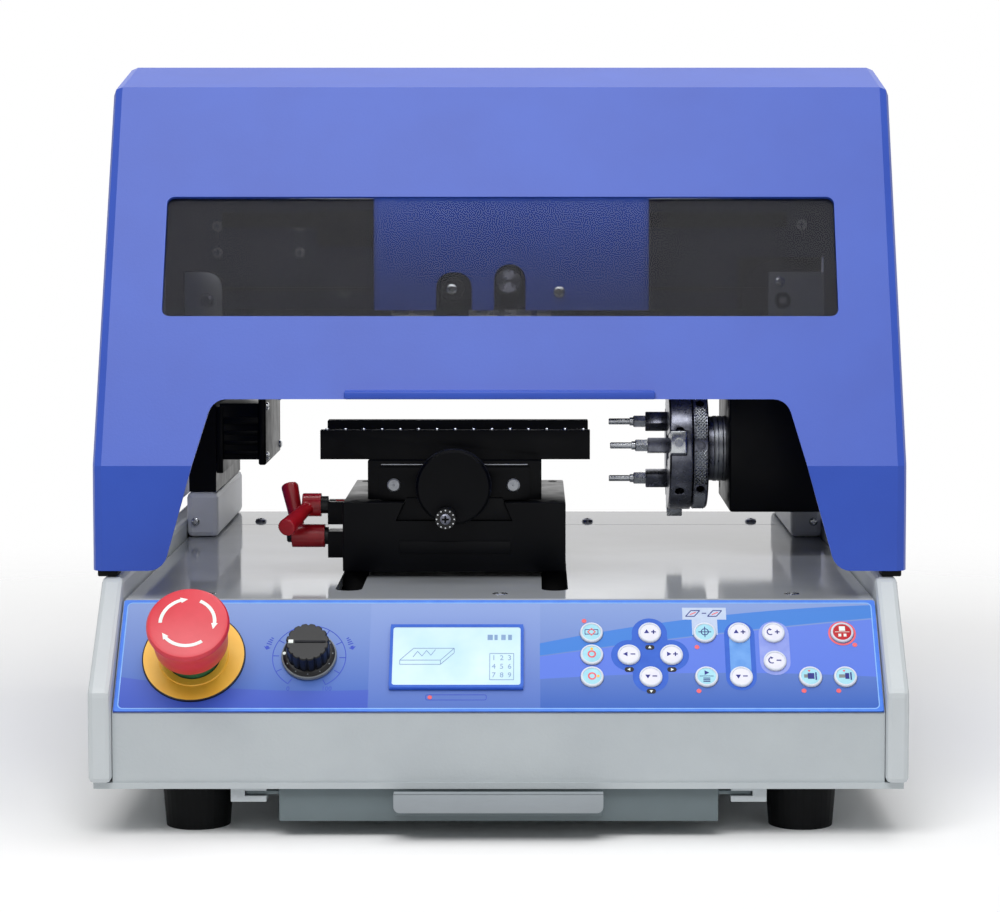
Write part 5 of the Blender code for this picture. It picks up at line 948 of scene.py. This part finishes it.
def make_display():
    """The display's frame and lit pane, with a drawn plate, bars and a grid of numbers."""
    place = panel_seat(*panel_middle("display"))
    back, low, glass = 3.0, 3.2, 3.36
    ink = glass + INK
    opening = rounded((-31.6, -16.6), (31.6, 16.6), 1.3)
    bezel = hoop(rounded((-33.1, -18.1), (33.1, 18.1), 1.6), opening, back, 3.6)
    parts = laid(LCD_GLASS, place, slab(opening, back, glass)) + laid(INK_PAD, place, bezel)
    plate = [(-28.0, -2.4), (-21.3, 4.4), (-1.2, 4.4), (-7.9, -2.4)]
    grid = [(16.4, 1.4), (28.2, 1.4), (28.2, -13.6), (16.4, -13.6)]
    drawn = pairs(plate) + pairs(grid)
    wave = [(-21.5 + 2.2 * i, -0.6 + 3.0 * (i % 2) + 0.25 * i) for i in range(6)]
    side = [(-28.0, -2.4), (-28.0, -4.8), (-7.9, -4.8), (-7.9, -2.4)]
    for path in (wave, side, [(-7.9, -4.8), (-1.2, 1.8), (-1.2, 4.4)]):
        drawn += zip(path, path[1:])
    marks = [line(*ends, 0.35, low, ink) for ends in drawn]
    for index, width in enumerate((2.6, 1.6, 2.2, 1.9)):
        left = 15.2 + 3.4 * index
        marks.append(block((left, 9.2, low), (left + width, 12.2, ink)))
    for index in range(9):
        row, column = divmod(index, 3)
        number = numerals(str(index + 1), 4.0, low, ink)
        marks.append(moved(number, shift(18.4 + 3.9 * column, -1.2 - 4.9 * row)))
    parts += laid(INK_SCREEN, place, *marks)
    make_piece("display_pane", "machine", parts)


def make_deck_screws():
    """Countersunk screws of the deck, and domed ones of its rear strip and the pillar feet."""
    front = screws([(x, 67.4, DECK_TOP + 0.05) for x in (-148.6, 0, 148.6)], UP, 4.0, sunk=True)
    rear = screws([(x, 384, DECK_TOP) for x in (-152.7, -50.9, 50.9, 152.7)], UP, 3.6)
    feet = screws([(x, 302, 121.5) for x in (-183.5, 183.5)], FRONT, 2.6)
    parts = laid(BRIGHT_STEEL, MACHINE, *front, *feet) + laid(DARK_STEEL, MACHINE, *rear)
    make_piece("deck_screws", "machine", parts)


def make_gantry_details():
    """Screws of the cross plate with a near-black sheet as painted shade of its dark recess, screws
    and plates of the brackets, belt teeth.
    """
    holes = [(-169.5, 296.6), (-169.5, 281.2), (-120.9, 296.6), (-120.9, 281.2)]
    holes += [(-94.8, 258.1), (89.1, 299.0), (175.6, 297.8)]
    heads = screws([(x, CROSS_PLATE - 0.4, z) for x, z in holes], FRONT, 3.2, sunk=True)
    # A thin near-black sheet where the cross plate shows a dark recess: painted shade
    cover = slab(rounded((-110.8, 284.6), (-66.0, 306.0), 3.0), 0, 0.4)
    parts = laid(SATIN_STEEL, MACHINE, *heads)
    parts += laid(PAINTED_SHADE_BLACK, seat(0, CROSS_PLATE - 0.12, 0, FRONT), cover)
    make_piece("gantry_screws", "machine", parts)

    left = screws([(-174.4, BRACKET_FACE - 0.1, BELT_Z)], FRONT, 4.4, recess="hex")
    right = screws([(161.5, BRACKET_FACE + 0.1, 264.8)], FRONT, 3.4)
    hub = seat(163.4, BRACKET_FACE + 0.1, BELT_Z, FRONT)
    ring = turned([(2.2, 0.9), (4.6, 0.9), (5.0, 0.4), (5.0, -0.5), (2.2, -0.5)], 32)
    axle = turned([(0, 0.5), (2.1, 0.5), (2.1, -0.5), (0, -0.5)], 24)
    corner = arc(9.0, 0, 90, 8, (-174.5, 261.0))
    plate = slab([(-187.2, 244.2), (-165.5, 244.2), *corner, (-187.2, 270.0)], -0.6, 0.25, 0.2)
    parts = laid(DARK_STEEL, MACHINE, *left) + laid(BRIGHT_STEEL, MACHINE, *right)
    parts += laid(GREY_METAL, hub, ring) + laid(SATIN_STEEL, hub, axle)
    parts += laid(SATIN_STEEL, seat(0, BRACKET_FACE, 0, FRONT), plate)
    make_piece("bracket_screws", "machine", parts)

    teeth = []
    for z in (BELT_Z - 6.0, BELT_Z + 6.0):
        for index in range(150):
            x = -170 + 2.2 * index
            teeth.append(block((x, 293.1, z - 0.55), (x + 1.1, 298.1, z + 0.55)))
    make_piece("belt_teeth", "machine", laid(RUBBER, MACHINE, *teeth))


def make_side_motor():
    """Motor beside the left upright: ribbed body, end plate and its screws."""
    ribs = [block((-166.8, 304.2, z), (-146.0, 306.0, z + 2.6), 0.9) for z in (161, 167, 173)]
    ribs.append(block((-167.0, 303.6, 179.4), (-141.4, 306.0, 183.4), 0.5))
    heads = screws([(-141.4, y, z) for y in (308, 390) for z in (160.2, 189.8)], RIGHT, 2.6)
    parts = laid(BLACK_METAL, UP, soften(node_copy("side_motor"), 0.5))
    parts += laid(BLACK_METAL, MACHINE, *ribs) + laid(BRIGHT_STEEL, MACHINE, *heads)
    make_piece("side_motor_case", "machine", parts, ["side_motor"])


def make_gearbox_details():
    """Edges of the gearbox, with countersunk screws in its face, near-black as painted shade of
    their holes.
    """
    points = [(GEARBOX_FACE, y, z) for y in (219, 293) for z in (145.5, 198)]
    parts = laid(BLACK_METAL, UP, soften(node_copy("gearbox_housing"), 0.5))
    # The screw heads are near-black as painted shade of the holes they sit in
    parts += laid(PAINTED_SHADE_BLACK, MACHINE, *screws(points, LEFT, 2.8, sunk=True))
    make_piece("gearbox_case", "machine", parts, ["gearbox_housing"])


def make_rear_details():
    """Mains inlet with its pins, rocker switch, louvres and screws on the rear wall."""
    inlet, switch = seat(-120, REAR_WALL, 70, REAR), seat(-72, REAR_WALL, 70, REAR)
    hole = rounded((-12.5, -8.5), (12.5, 8.5), 3.0)
    sheath = rounded((-14.6, -10.6), (14.6, 10.6), 2.0)
    rim = hoop(rounded((-17.5, -13.5), (17.5, 13.5), 2.5), hole, 0, 1.6)
    socket = hoop(sheath, hole, -12, 0.5), slab(sheath, -13.5, -11.5)
    places = ((-6, -2), (0, 2.5), (6, -2))
    pins = [block((x - 1, y - 2, -12), (x + 1, y + 2, -3), 0.3) for x, y in places]
    surround = hoop(rounded((-9, -14), (9, 14), 1.5), rounded((-7, -12), (7, 12), 0.8), 0, 1.6)
    rocker = slab([(-11.8, 0), (-11.8, 3.2), (0, 1.2), (11.8, 1.6), (11.8, 0)], -6.8, 6.8, 0.3)
    parts = laid(BLACK_PLASTIC, inlet, rim, *socket) + laid(BRIGHT_STEEL, inlet, *pins)
    parts += laid(BLACK_PLASTIC, switch, surround, moved(rocker, ACROSS))
    make_piece("mains_inlet", "machine", parts)
    parts = []
    # The mirror turns the louvres' faces inwards
    mirrored = ACROSS @ Matrix.Scale(-1, 4, (1, 0, 0))
    for x in (-20, 20, 60, 100):
        for row in range(6):
            place = seat(x, REAR_WALL, 52 + 7.5 * row, REAR) @ mirrored
            parts += laid(PAINT["base"], place, slab(arc(1.9, 0, 180, 8), -15, 15))
    make_piece("rear_louvres", "machine", parts)
    points = [(x, REAR_WALL, z) for x in (-180, -20, 140, 180) for z in (28, 98)]
    parts = laid(SATIN_STEEL, MACHINE, *screws(points, REAR, 2.8))
    make_piece("rear_screws", "machine", parts)


def make_side_screws():
    """Domed screws that hold the side panels."""
    heads = []
    for turn, x in ((LEFT, -SIDE_FACE), (RIGHT, SIDE_FACE)):
        places = ((40, 45), (40, 75), (225, 45), (405, 45), (405, 98))
        heads += screws([(x, y, z) for y, z in places], turn, 3.0)
    make_piece("side_screws", "machine", laid(SATIN_STEEL, MACHINE, *heads))


def make_rail():
    """Blue-black sheet on the cross plate behind the belt, whose wings past the uprights are
    painted shade of the hood's inner walls, with a bright steel strip near its top as a painted
    highlight line.
    """
    # Out to 200.5 mm either side the sheet reaches past the uprights: painted shade over the gap to
    # the hood walls
    outline = [(-200.5, 226), (-200.5, 318.5), (200.5, 318.5), (200.5, 240)]
    outline += [(188.8, 240), (188.8, 278.5), (138, 278.5), (138, 226)]
    # A thin bright steel strip: painted highlight, a line of light along the rail
    edge = block((-187.0, CROSS_PLATE - 1.4, 312.4), (187.0, CROSS_PLATE - 0.3, 313.3), 0.2)
    parts = laid(GUARD_AND_PAINTED_SHADE, seat(0, CROSS_PLATE - 0.05, 0, FRONT), slab(outline, 0, 0.4))
    parts += laid(BRIGHT_STEEL, MACHINE, edge)
    make_piece("rail_guard_with_painted_light", "machine", parts)


def make_tray():
    """Chip tray with softened edges and its folded pull, the tray coated darker as painted shade
    and the pull lighter as painted light.
    """
    cut = moved(block((-52, -8, 11), (52, 0.9, 18)), MACHINE)
    tray = soften(flattened(carve(node_copy("chip_tray"), [cut])), 0.7)
    corners = arc(3.2, 180, 270, 6, (-47.8, 18.4)) + arc(3.2, 270, 360, 6, (47.8, 18.4))
    pull = slab([*corners, (51.0, 24.2), (-51.0, 24.2)], 5.0, 6.5, 0.3)
    fold = block((-51, -6, 23.2), (51, 1.4, 24.2))
    # Darker tray and lighter pull: painted shade and painted light
    parts = laid(PAINT["tray"], UP, tray)
    parts += laid(PAINT["pull"], MACHINE, moved(pull, FRONT), fold)
    make_piece("tray_body", "tray", parts, ["chip_tray"])


def with_lifted_fold(bm):
    """Brings the hood's slanted front forward, so that its lower fold lies higher."""
    lean = (SHOULDER_Y - HOOD_FRONT) / (SHOULDER_Z - FOLD_Z)
    lifted = FOLD_Z + FOLD_LIFT
    geom = list(bm.verts) + list(bm.edges) + list(bm.faces)
    level = MACHINE @ Vector((0, 0, lifted))
    bmesh.ops.bisect_plane(bm, geom=geom, plane_co=level, plane_no=(0, 0, 1))
    to_machine = MACHINE.inverted()
    for vert in bm.verts:
        place = to_machine @ vert.co
        rise = place.z - FOLD_Z
        depth = HOOD_FRONT + rise * lean + HOOD_EDGE
        if 0 < rise < SHOULDER_Z - FOLD_Z and place.y < depth:
            share = min(1, (SHOULDER_Z - place.z) / (SHOULDER_Z - lifted))
            place.y -= min(rise, FOLD_LIFT * share) * lean
            vert.co = MACHINE @ place
    return bm


def make_hood():
    """Hood and its window pane, with the front's lower fold as high as in the photo."""
    parts = laid(PAINT["hood"], UP, with_lifted_fold(node_copy("hood")))
    shell = make_piece("hood_shell", "hood", parts, ["hood"])
    for face in shell.data.polygons:
        face.use_smooth = face.area < ROUNDING_FACE
    parts = laid(ACRYLIC, UP, with_lifted_fold(node_copy("hood_window")))
    make_piece("window_pane", "hood", parts, ["hood_window"])


def make_hood_details():
    """Rubber buffers under the hood's lower edge, and its hinge screws."""
    pads = [block((x, 52.5, 122.8), (x + 10, 65.5, 126.4), 0.8) for x in (-202.5, 192.5)]
    make_piece("hood_buffers", "hood", laid(RUBBER, MACHINE, *pads))
    heads = screws([(-HOOD_SIDE, 425, 358)], LEFT, 4.6, recess="hex")
    heads += screws([(HOOD_SIDE, 425, 358)], RIGHT, 4.6, recess="hex")
    make_piece("hinge_screws", "hood", laid(GREY_METAL, MACHINE, *heads))


def make_head_details():
    """Faces of the head's two knobs, the clamp knob's ring of steel dots as painted highlights, its
    cover screw and the bright ring of its spindle.
    """
    place = seat(-27.8, HEAD_FACE, 263, FRONT)
    face = place @ shift(0, 0, 0.8)
    # A ring of satin steel dots on the black clamp knob: painted highlights
    ring = [at(5.2, 18 + 36 * index) for index in range(10)]
    dots = studs([(0, 0.3), (0.45, 0.2), (0.5, -0.2), (0, -0.2)], 10, ring)
    parts = laid(BLACK_PLASTIC, place, slab(lobed(6.9, 10, 0.8), -8, 0.8, 0.4))
    parts += laid(BRIGHT_STEEL, face, screw(3.2)) + laid(SATIN_STEEL, face, *dots)
    make_piece("head_clamp_face", "clamp_knob", parts)
    profile = [(0, 0.6)]
    for index in range(1, 12):
        profile += [(index * 0.54, 0.6), (index * 0.54 + 0.27, 0.47)]
    profile += [(6.6, 0.5), (6.8, 0.2), (6.8, -8.0), (0, -8.0)]
    parts = laid(DARK_STEEL, seat(3.3, HEAD_FACE, 267.5, FRONT), turned(profile, 64))
    make_piece("head_disc_face", "disc_knob", parts)
    spans = ((-61.5, -38.0), (-19.0, -2.0), (0.5, 16.0), (19.0, 27.0))
    trim = [block((left, 198, 247.2), (right, 211, 251.5), 0.8) for left, right in spans]
    trim += screws([(31.3, 190, 261.6)], FRONT, 3.4)
    make_piece("head_cover_trim", "carriage", laid(BRIGHT_STEEL, MACHINE, *trim))
    collar = [(17.6, 251.5), (19.1, 251.5), (19.4, 251), (19.4, 246), (18.9, 245.4), (17.6, 245.4)]
    nose = [(11.2, 244.9), (11.2, 238.6), (10.6, 238.0), (9, 238.0), (9, 244.9)]
    rings = turned(collar, 64), turned(nose, 48)
    parts = laid(BRIGHT_STEEL, seat(SPINDLE_X, SPINDLE_Y, 0), *rings)
    make_piece("spindle_collar", "z_slide", parts)


def make_vise():
    """Upper vise with stepped jaws, its clamping pins as bright studs that stand for the glints
    along the jaw's top, the round nuts of its front plate and a painted highlight strip on that
    plate's top edge.
    """
    corners = []
    for side in (-1, 1):
        outline = [(side * 47.5, 161.4), (side * 47.5, 151), (side * 37.1, 151)]
        corners.append(moved(slab(outline, 0, 99.9), seat(VISE_X, 240, 0, FRONT)))
    step = moved(block((-110, 158, 180.5), (60, 179.6, 195)), MACHINE)
    body = soften(flattened(carve(node_copy("vise_body"), [*corners, step])), 0.35)
    # Bright studs for the clamping pins, which also stand for the glints along the jaw's top:
    # painted highlights
    glint_pin = [(0, 1.0), (0.7, 0.95), (1.1, 0.6), (1.1, -1.0), (0, -1.0)]
    pins = studs(glint_pin, 16, [(-94 + 9.86 * index, 154, 188.5) for index in range(15)])
    nut = [(0, 0.9), (0.5, 0.55), (2.9, 0.8), (3.6, 0.4), (3.6, -1.0), (0, -1.0)]
    nuts = studs(nut, 40, [(-57.3, 160.5), (6.3, 160.5)])
    # A thin satin steel strip on the front plate's top edge: painted highlight of its bevel
    edge = block((-64, 135.2, 171.3), (14, 136.2, 171.8), 0.1)
    parts = laid(BLACK_METAL, UP, body) + laid(BRIGHT_STEEL, MACHINE, *pins)
    parts += laid(SATIN_STEEL, seat(0, VISE_FACE, 0, FRONT), *nuts)
    parts += laid(SATIN_STEEL, MACHINE, edge)
    make_piece("vise_upper", "vise", parts, ["vise_body"])
    step = moved(block((-110, 180, 172), (60, 203, 195)), MACHINE)
    jaw = soften(flattened(carve(node_copy("moving_jaw"), [step])), 0.35)
    plate = block((-97.5, 203.2, 174), (47.5, 213.9, 189.6), 0.35)
    parts = laid(BLACK_METAL, UP, jaw) + laid(BLACK_METAL, MACHINE, plate)
    make_piece("vise_rear_jaw", "vise_jaw", parts, ["moving_jaw"])
    plate = block((-54, 127.2, 124.8), (5, 130, 131.4), 0.3)
    # Near-black countersunk heads: painted shade, so that they read as dark holes
    heads = screws([(x, y, 152) for x in (-78, 28) for y in (136, 240)], UP, 2.6, sunk=True)
    parts = laid(BLACK_METAL, UP, soften(node_copy("vise_carriage"), 0.4))
    parts += laid(BLACK_METAL, MACHINE, plate) + laid(PAINTED_SHADE_BLACK, MACHINE, *heads)
    make_piece("vise_lower", "vise_carriage", parts, ["vise_carriage"])


def make_handwheel():
    """Knurled rim of the handwheel, and the ringed face of its crank knob, whose bright dots are
    painted glints of its dimples.
    """
    rim = knurl(19.65, -9.4, -0.9, 90, 8, 0.35)
    parts = laid(GREY_METAL, seat(VISE_X, 116, 161.3, FRONT), rim)
    make_piece("handwheel_rim", "vise_screw", parts, crease=12)
    place = seat(-28.8, 102.7, 146, FRONT)
    ring = turned([(3.3, 0.25), (5.3, 0.2), (5.5, -0.4), (5.5, -12), (3.3, -12)], 48)
    # Twelve bright steel dots where the knob has dimples: painted glints
    points = [(*at(4.6, 30 * index), 0.2) for index in range(12)]
    dots = studs([(0, 0.3), (0.4, 0.2), (0.45, -0.2), (0, -0.2)], 10, points)
    parts = laid(BLACK_PLASTIC, place, ring) + laid(BRIGHT_STEEL, place, *dots)
    parts += laid(DARK_STEEL, place @ shift(0, 0, -0.6), screw(3.2))
    make_piece("crank_face", "crank", parts)


def make_levers():
    """Clamp levers moulded in red nylon, with black bushes on their studs."""
    for body, z, inner in (("upper_lever", 148.2, -97.2), ("lower_lever", 131.5, -95.3)):
        node = body.replace("lever", "clamp_lever")
        trim = moved(block((inner, 140, z - 12), (inner + 8, 165, z + 12)), MACHINE)
        lever = carve(melted(node_copy(node), 0.5, 6), [trim])
        foot = inner + 93.4
        bush = turned([(0, 1.0), (4.7, 1.0), (4.7, foot), (0, foot)], 32)
        parts = laid(LEVER_PLASTIC, UP, lever)
        parts += laid(BLACK_PLASTIC, seat(inner, 152, z, LEFT), bush)
        if body == "lower_lever":
            plug = turned([(0, 2.8), (3.0, 2.7), (3.6, 2.1), (3.7, -0.5), (0, -0.5)], 32)
            parts += laid(BLACK_PLASTIC, seat(-113, 152, z, LEFT), plug)
        make_piece(f"{body}_grip", body, parts, [node], crease=60)


def make_chuck():
    """Ring chuck: drilled disc, knurled scroll ring with its holes and a grooved neck."""
    place = seat(107.2, CHUCK_Y, CHUCK_Z, LEFT)
    holes = [moved(radial_pin(2.6, 29, 40, -69 + 60 * i, 7.2), place) for i in range(6)]
    disc = soften(flattened(carve(node_copy("chuck_body"), holes)), 0.3)
    neck = [(17.2, 10.3), (18.1, 10.3), (18.1, 6.9), (18.6, 6.9), (18.8, 6.6), (18.8, 4.6)]
    neck += [(18.3, 4.4), (18.3, 4.1), (18.8, 3.9), (18.8, 1.9), (18.3, 1.7), (18.3, 1.4)]
    neck += [(18.8, 1.2), (18.8, 0.2), (17.2, 0.2)]
    parts = laid(DARK_STEEL, UP, disc)
    parts += laid(SATIN_STEEL, seat(GEARBOX_FACE, CHUCK_Y, CHUCK_Z, LEFT), turned(neck, 64))
    make_piece("chuck_disc", "chuck", parts, ["chuck_body"])
    place = seat(116.5, CHUCK_Y, CHUCK_Z, LEFT)
    turns = [-82.2 + 45 * i for i in range(8)]
    ring = [(19.2, 9.2), (33.4, 9.2), (34.3, 8.4), (34.3, 0.9), (33.4, 0.1), (19.2, 0.1)]
    ring = carve(turned(ring, 96), [radial_pin(2.5, 27, 40, turn, 4.65) for turn in turns])
    grip = knurl(34.32, 0.9, 8.4, 100, 8, 0.6, turns)
    parts = laid(DARK_STEEL, place, ring) + laid(BRIGHT_STEEL, place, grip)
    make_piece("scroll_ring_rim", "scroll", parts, ["scroll_ring"], crease=12)


def make_jaws():
    """Chuck jaws: a slide with a drilled end, a block, a hexagonal shank and a round finger."""
    for name, turn in (("jaw_1", 50), ("jaw_2", 170), ("jaw_3", 290)):
        lay = LEFT @ Matrix.Rotation(math.radians(90 - turn), 4, "Z")
        place = seat(94.2, CHUCK_Y, CHUCK_Z, lay)
        slide = block((14.2, -6.6, -9.2), (36.2, 6.6, -0.2), 0.3)
        hole = radial_pin(2.5, 37, 44, 0, -4.8)
        end = carve(block((35.4, -6.3, -9.1), (40.6, 6.3, -0.3), 0.5), [hole])
        lug = block((14.8, -4.1, -0.6), (23.2, 4.1, 12.2), 0.5)
        shank = turned([(0, 19.2), (3.2, 19.2), (3.7, 18.7), (3.7, 11.9), (0, 11.9)], 6)
        finger = [(0, 33.4), (1.5, 33.4), (1.8, 33.1), (1.8, 21.4), (2.4, 21.2), (2.4, 19.0)]
        finger = turned([*finger, (0, 19.0)], 32)
        parts = laid(DARK_STEEL, place, slide, lug) + laid(BRIGHT_STEEL, place, end)
        parts += laid(BRIGHT_STEEL, place @ shift(19, 0), shank, finger)
        make_piece(f"{name}_finger", name, parts, [f"chuck_{name}"])


make_panel_print()
make_stop_button()
make_speed_knob()
make_keys()
make_display()
make_deck_screws()
make_gantry_details()
make_side_motor()
make_gearbox_details()
make_rear_details()
make_side_screws()
make_rail()
make_tray()
make_hood()
make_hood_details()
make_head_details()
make_vise()
make_handwheel()
make_levers()
make_chuck()
make_jaws()


# Studio: distances in metres, lamps in watts

FLOOR_RADIUS = 1.1
FADE_START = 0.28
FILL_STRENGTH = 0.25
WHITE = (1, 1, 1, 1)
LAMPS = (
    ("key_lamp", (-0.25, -1.3, 1.75), (0, 0, 0.2), (1.6, 1.0), 28),
    ("top_lamp", (0.3, 0.0, 1.9), (0, 0, 0.1), (1.2, 1.2), 12),
    ("front_fill", (0.9, -1.7, 0.6), (0, 0, 0.2), (1.0, 1.0), 1.5),
    ("rear_lamp", (0, 1.25, 0.6), (0, 0, 0.12), (1.4, 0.5), 2.5),
    ("work_lamp", (0, BASE_FRONT + 0.15, 0.33), (0, BASE_FRONT + 0.26, 0.15), (0.34, 0.04), 0.26),
)


def add_floor():
    """A pale floor round the machine, which fades into the white background."""
    bm = bmesh.new()
    bmesh.ops.create_circle(bm, cap_ends=True, segments=96, radius=FLOOR_RADIUS)
    mesh = bpy.data.meshes.new("floor")
    bm.to_mesh(mesh)
    bm.free()
    floor = bpy.data.objects.new("floor", mesh)
    bpy.context.scene.collection.objects.link(floor)
    material = new_material("pale_floor", "FAFAFA", 0.9)
    tree = material.node_tree
    place = add_node(tree, "ShaderNodeTexCoord").outputs["Object"]
    reach = add_node(tree, "ShaderNodeVectorMath", {0: place}, operation="LENGTH")
    inputs = {"Value": reach.outputs["Value"], "From Min": FADE_START, "From Max": FLOOR_RADIUS}
    fade = add_node(tree, "ShaderNodeMapRange", inputs, interpolation_type="SMOOTHSTEP")
    clear = add_node(tree, "ShaderNodeBsdfTransparent")
    shader = tree.nodes["Principled BSDF"]
    inputs = {0: fade.outputs["Result"], 1: shader.outputs[0], 2: clear.outputs[0]}
    mixed = add_node(tree, "ShaderNodeMixShader", inputs)
    tree.links.new(mixed.outputs[0], tree.nodes["Material Output"].inputs["Surface"])
    mesh.materials.append(material)


def add_world():
    """White for the camera and in reflections, and a soft plain light on everything."""
    world = bpy.data.worlds.new("studio")
    world.use_nodes = True
    bpy.context.scene.world = world
    tree = world.node_tree
    backdrop = tree.nodes["Background"]
    backdrop.inputs["Color"].default_value = WHITE
    backdrop.inputs["Strength"].default_value = 1.0
    fill = add_node(tree, "ShaderNodeBackground", {"Color": WHITE, "Strength": FILL_STRENGTH})
    path = add_node(tree, "ShaderNodeLightPath").outputs
    shown = path["Is Camera Ray"]
    for ray in ("Is Glossy Ray", "Is Transmission Ray"):
        either = add_node(tree, "ShaderNodeMath", {0: shown, 1: path[ray]}, operation="MAXIMUM")
        shown = either.outputs[0]
    inputs = {0: shown, 1: fill.outputs[0], 2: backdrop.outputs[0]}
    mixed = add_node(tree, "ShaderNodeMixShader", inputs)
    tree.links.new(mixed.outputs[0], tree.nodes["World Output"].inputs["Surface"])


def add_lamp(name, place, aim, size, power):
    data = bpy.data.lights.new(name, "AREA")
    data.shape = "RECTANGLE"
    data.size, data.size_y = size
    data.energy = power
    lamp = bpy.data.objects.new(name, data)
    lamp.location = place
    lamp.rotation_euler = (Vector(aim) - Vector(place)).to_track_quat("-Z", "Y").to_euler()
    bpy.context.scene.collection.objects.link(lamp)


add_floor()
add_world()
for lamp in LAMPS:
    add_lamp(*lamp)
bpy.context.scene.view_settings.view_transform = "Standard"
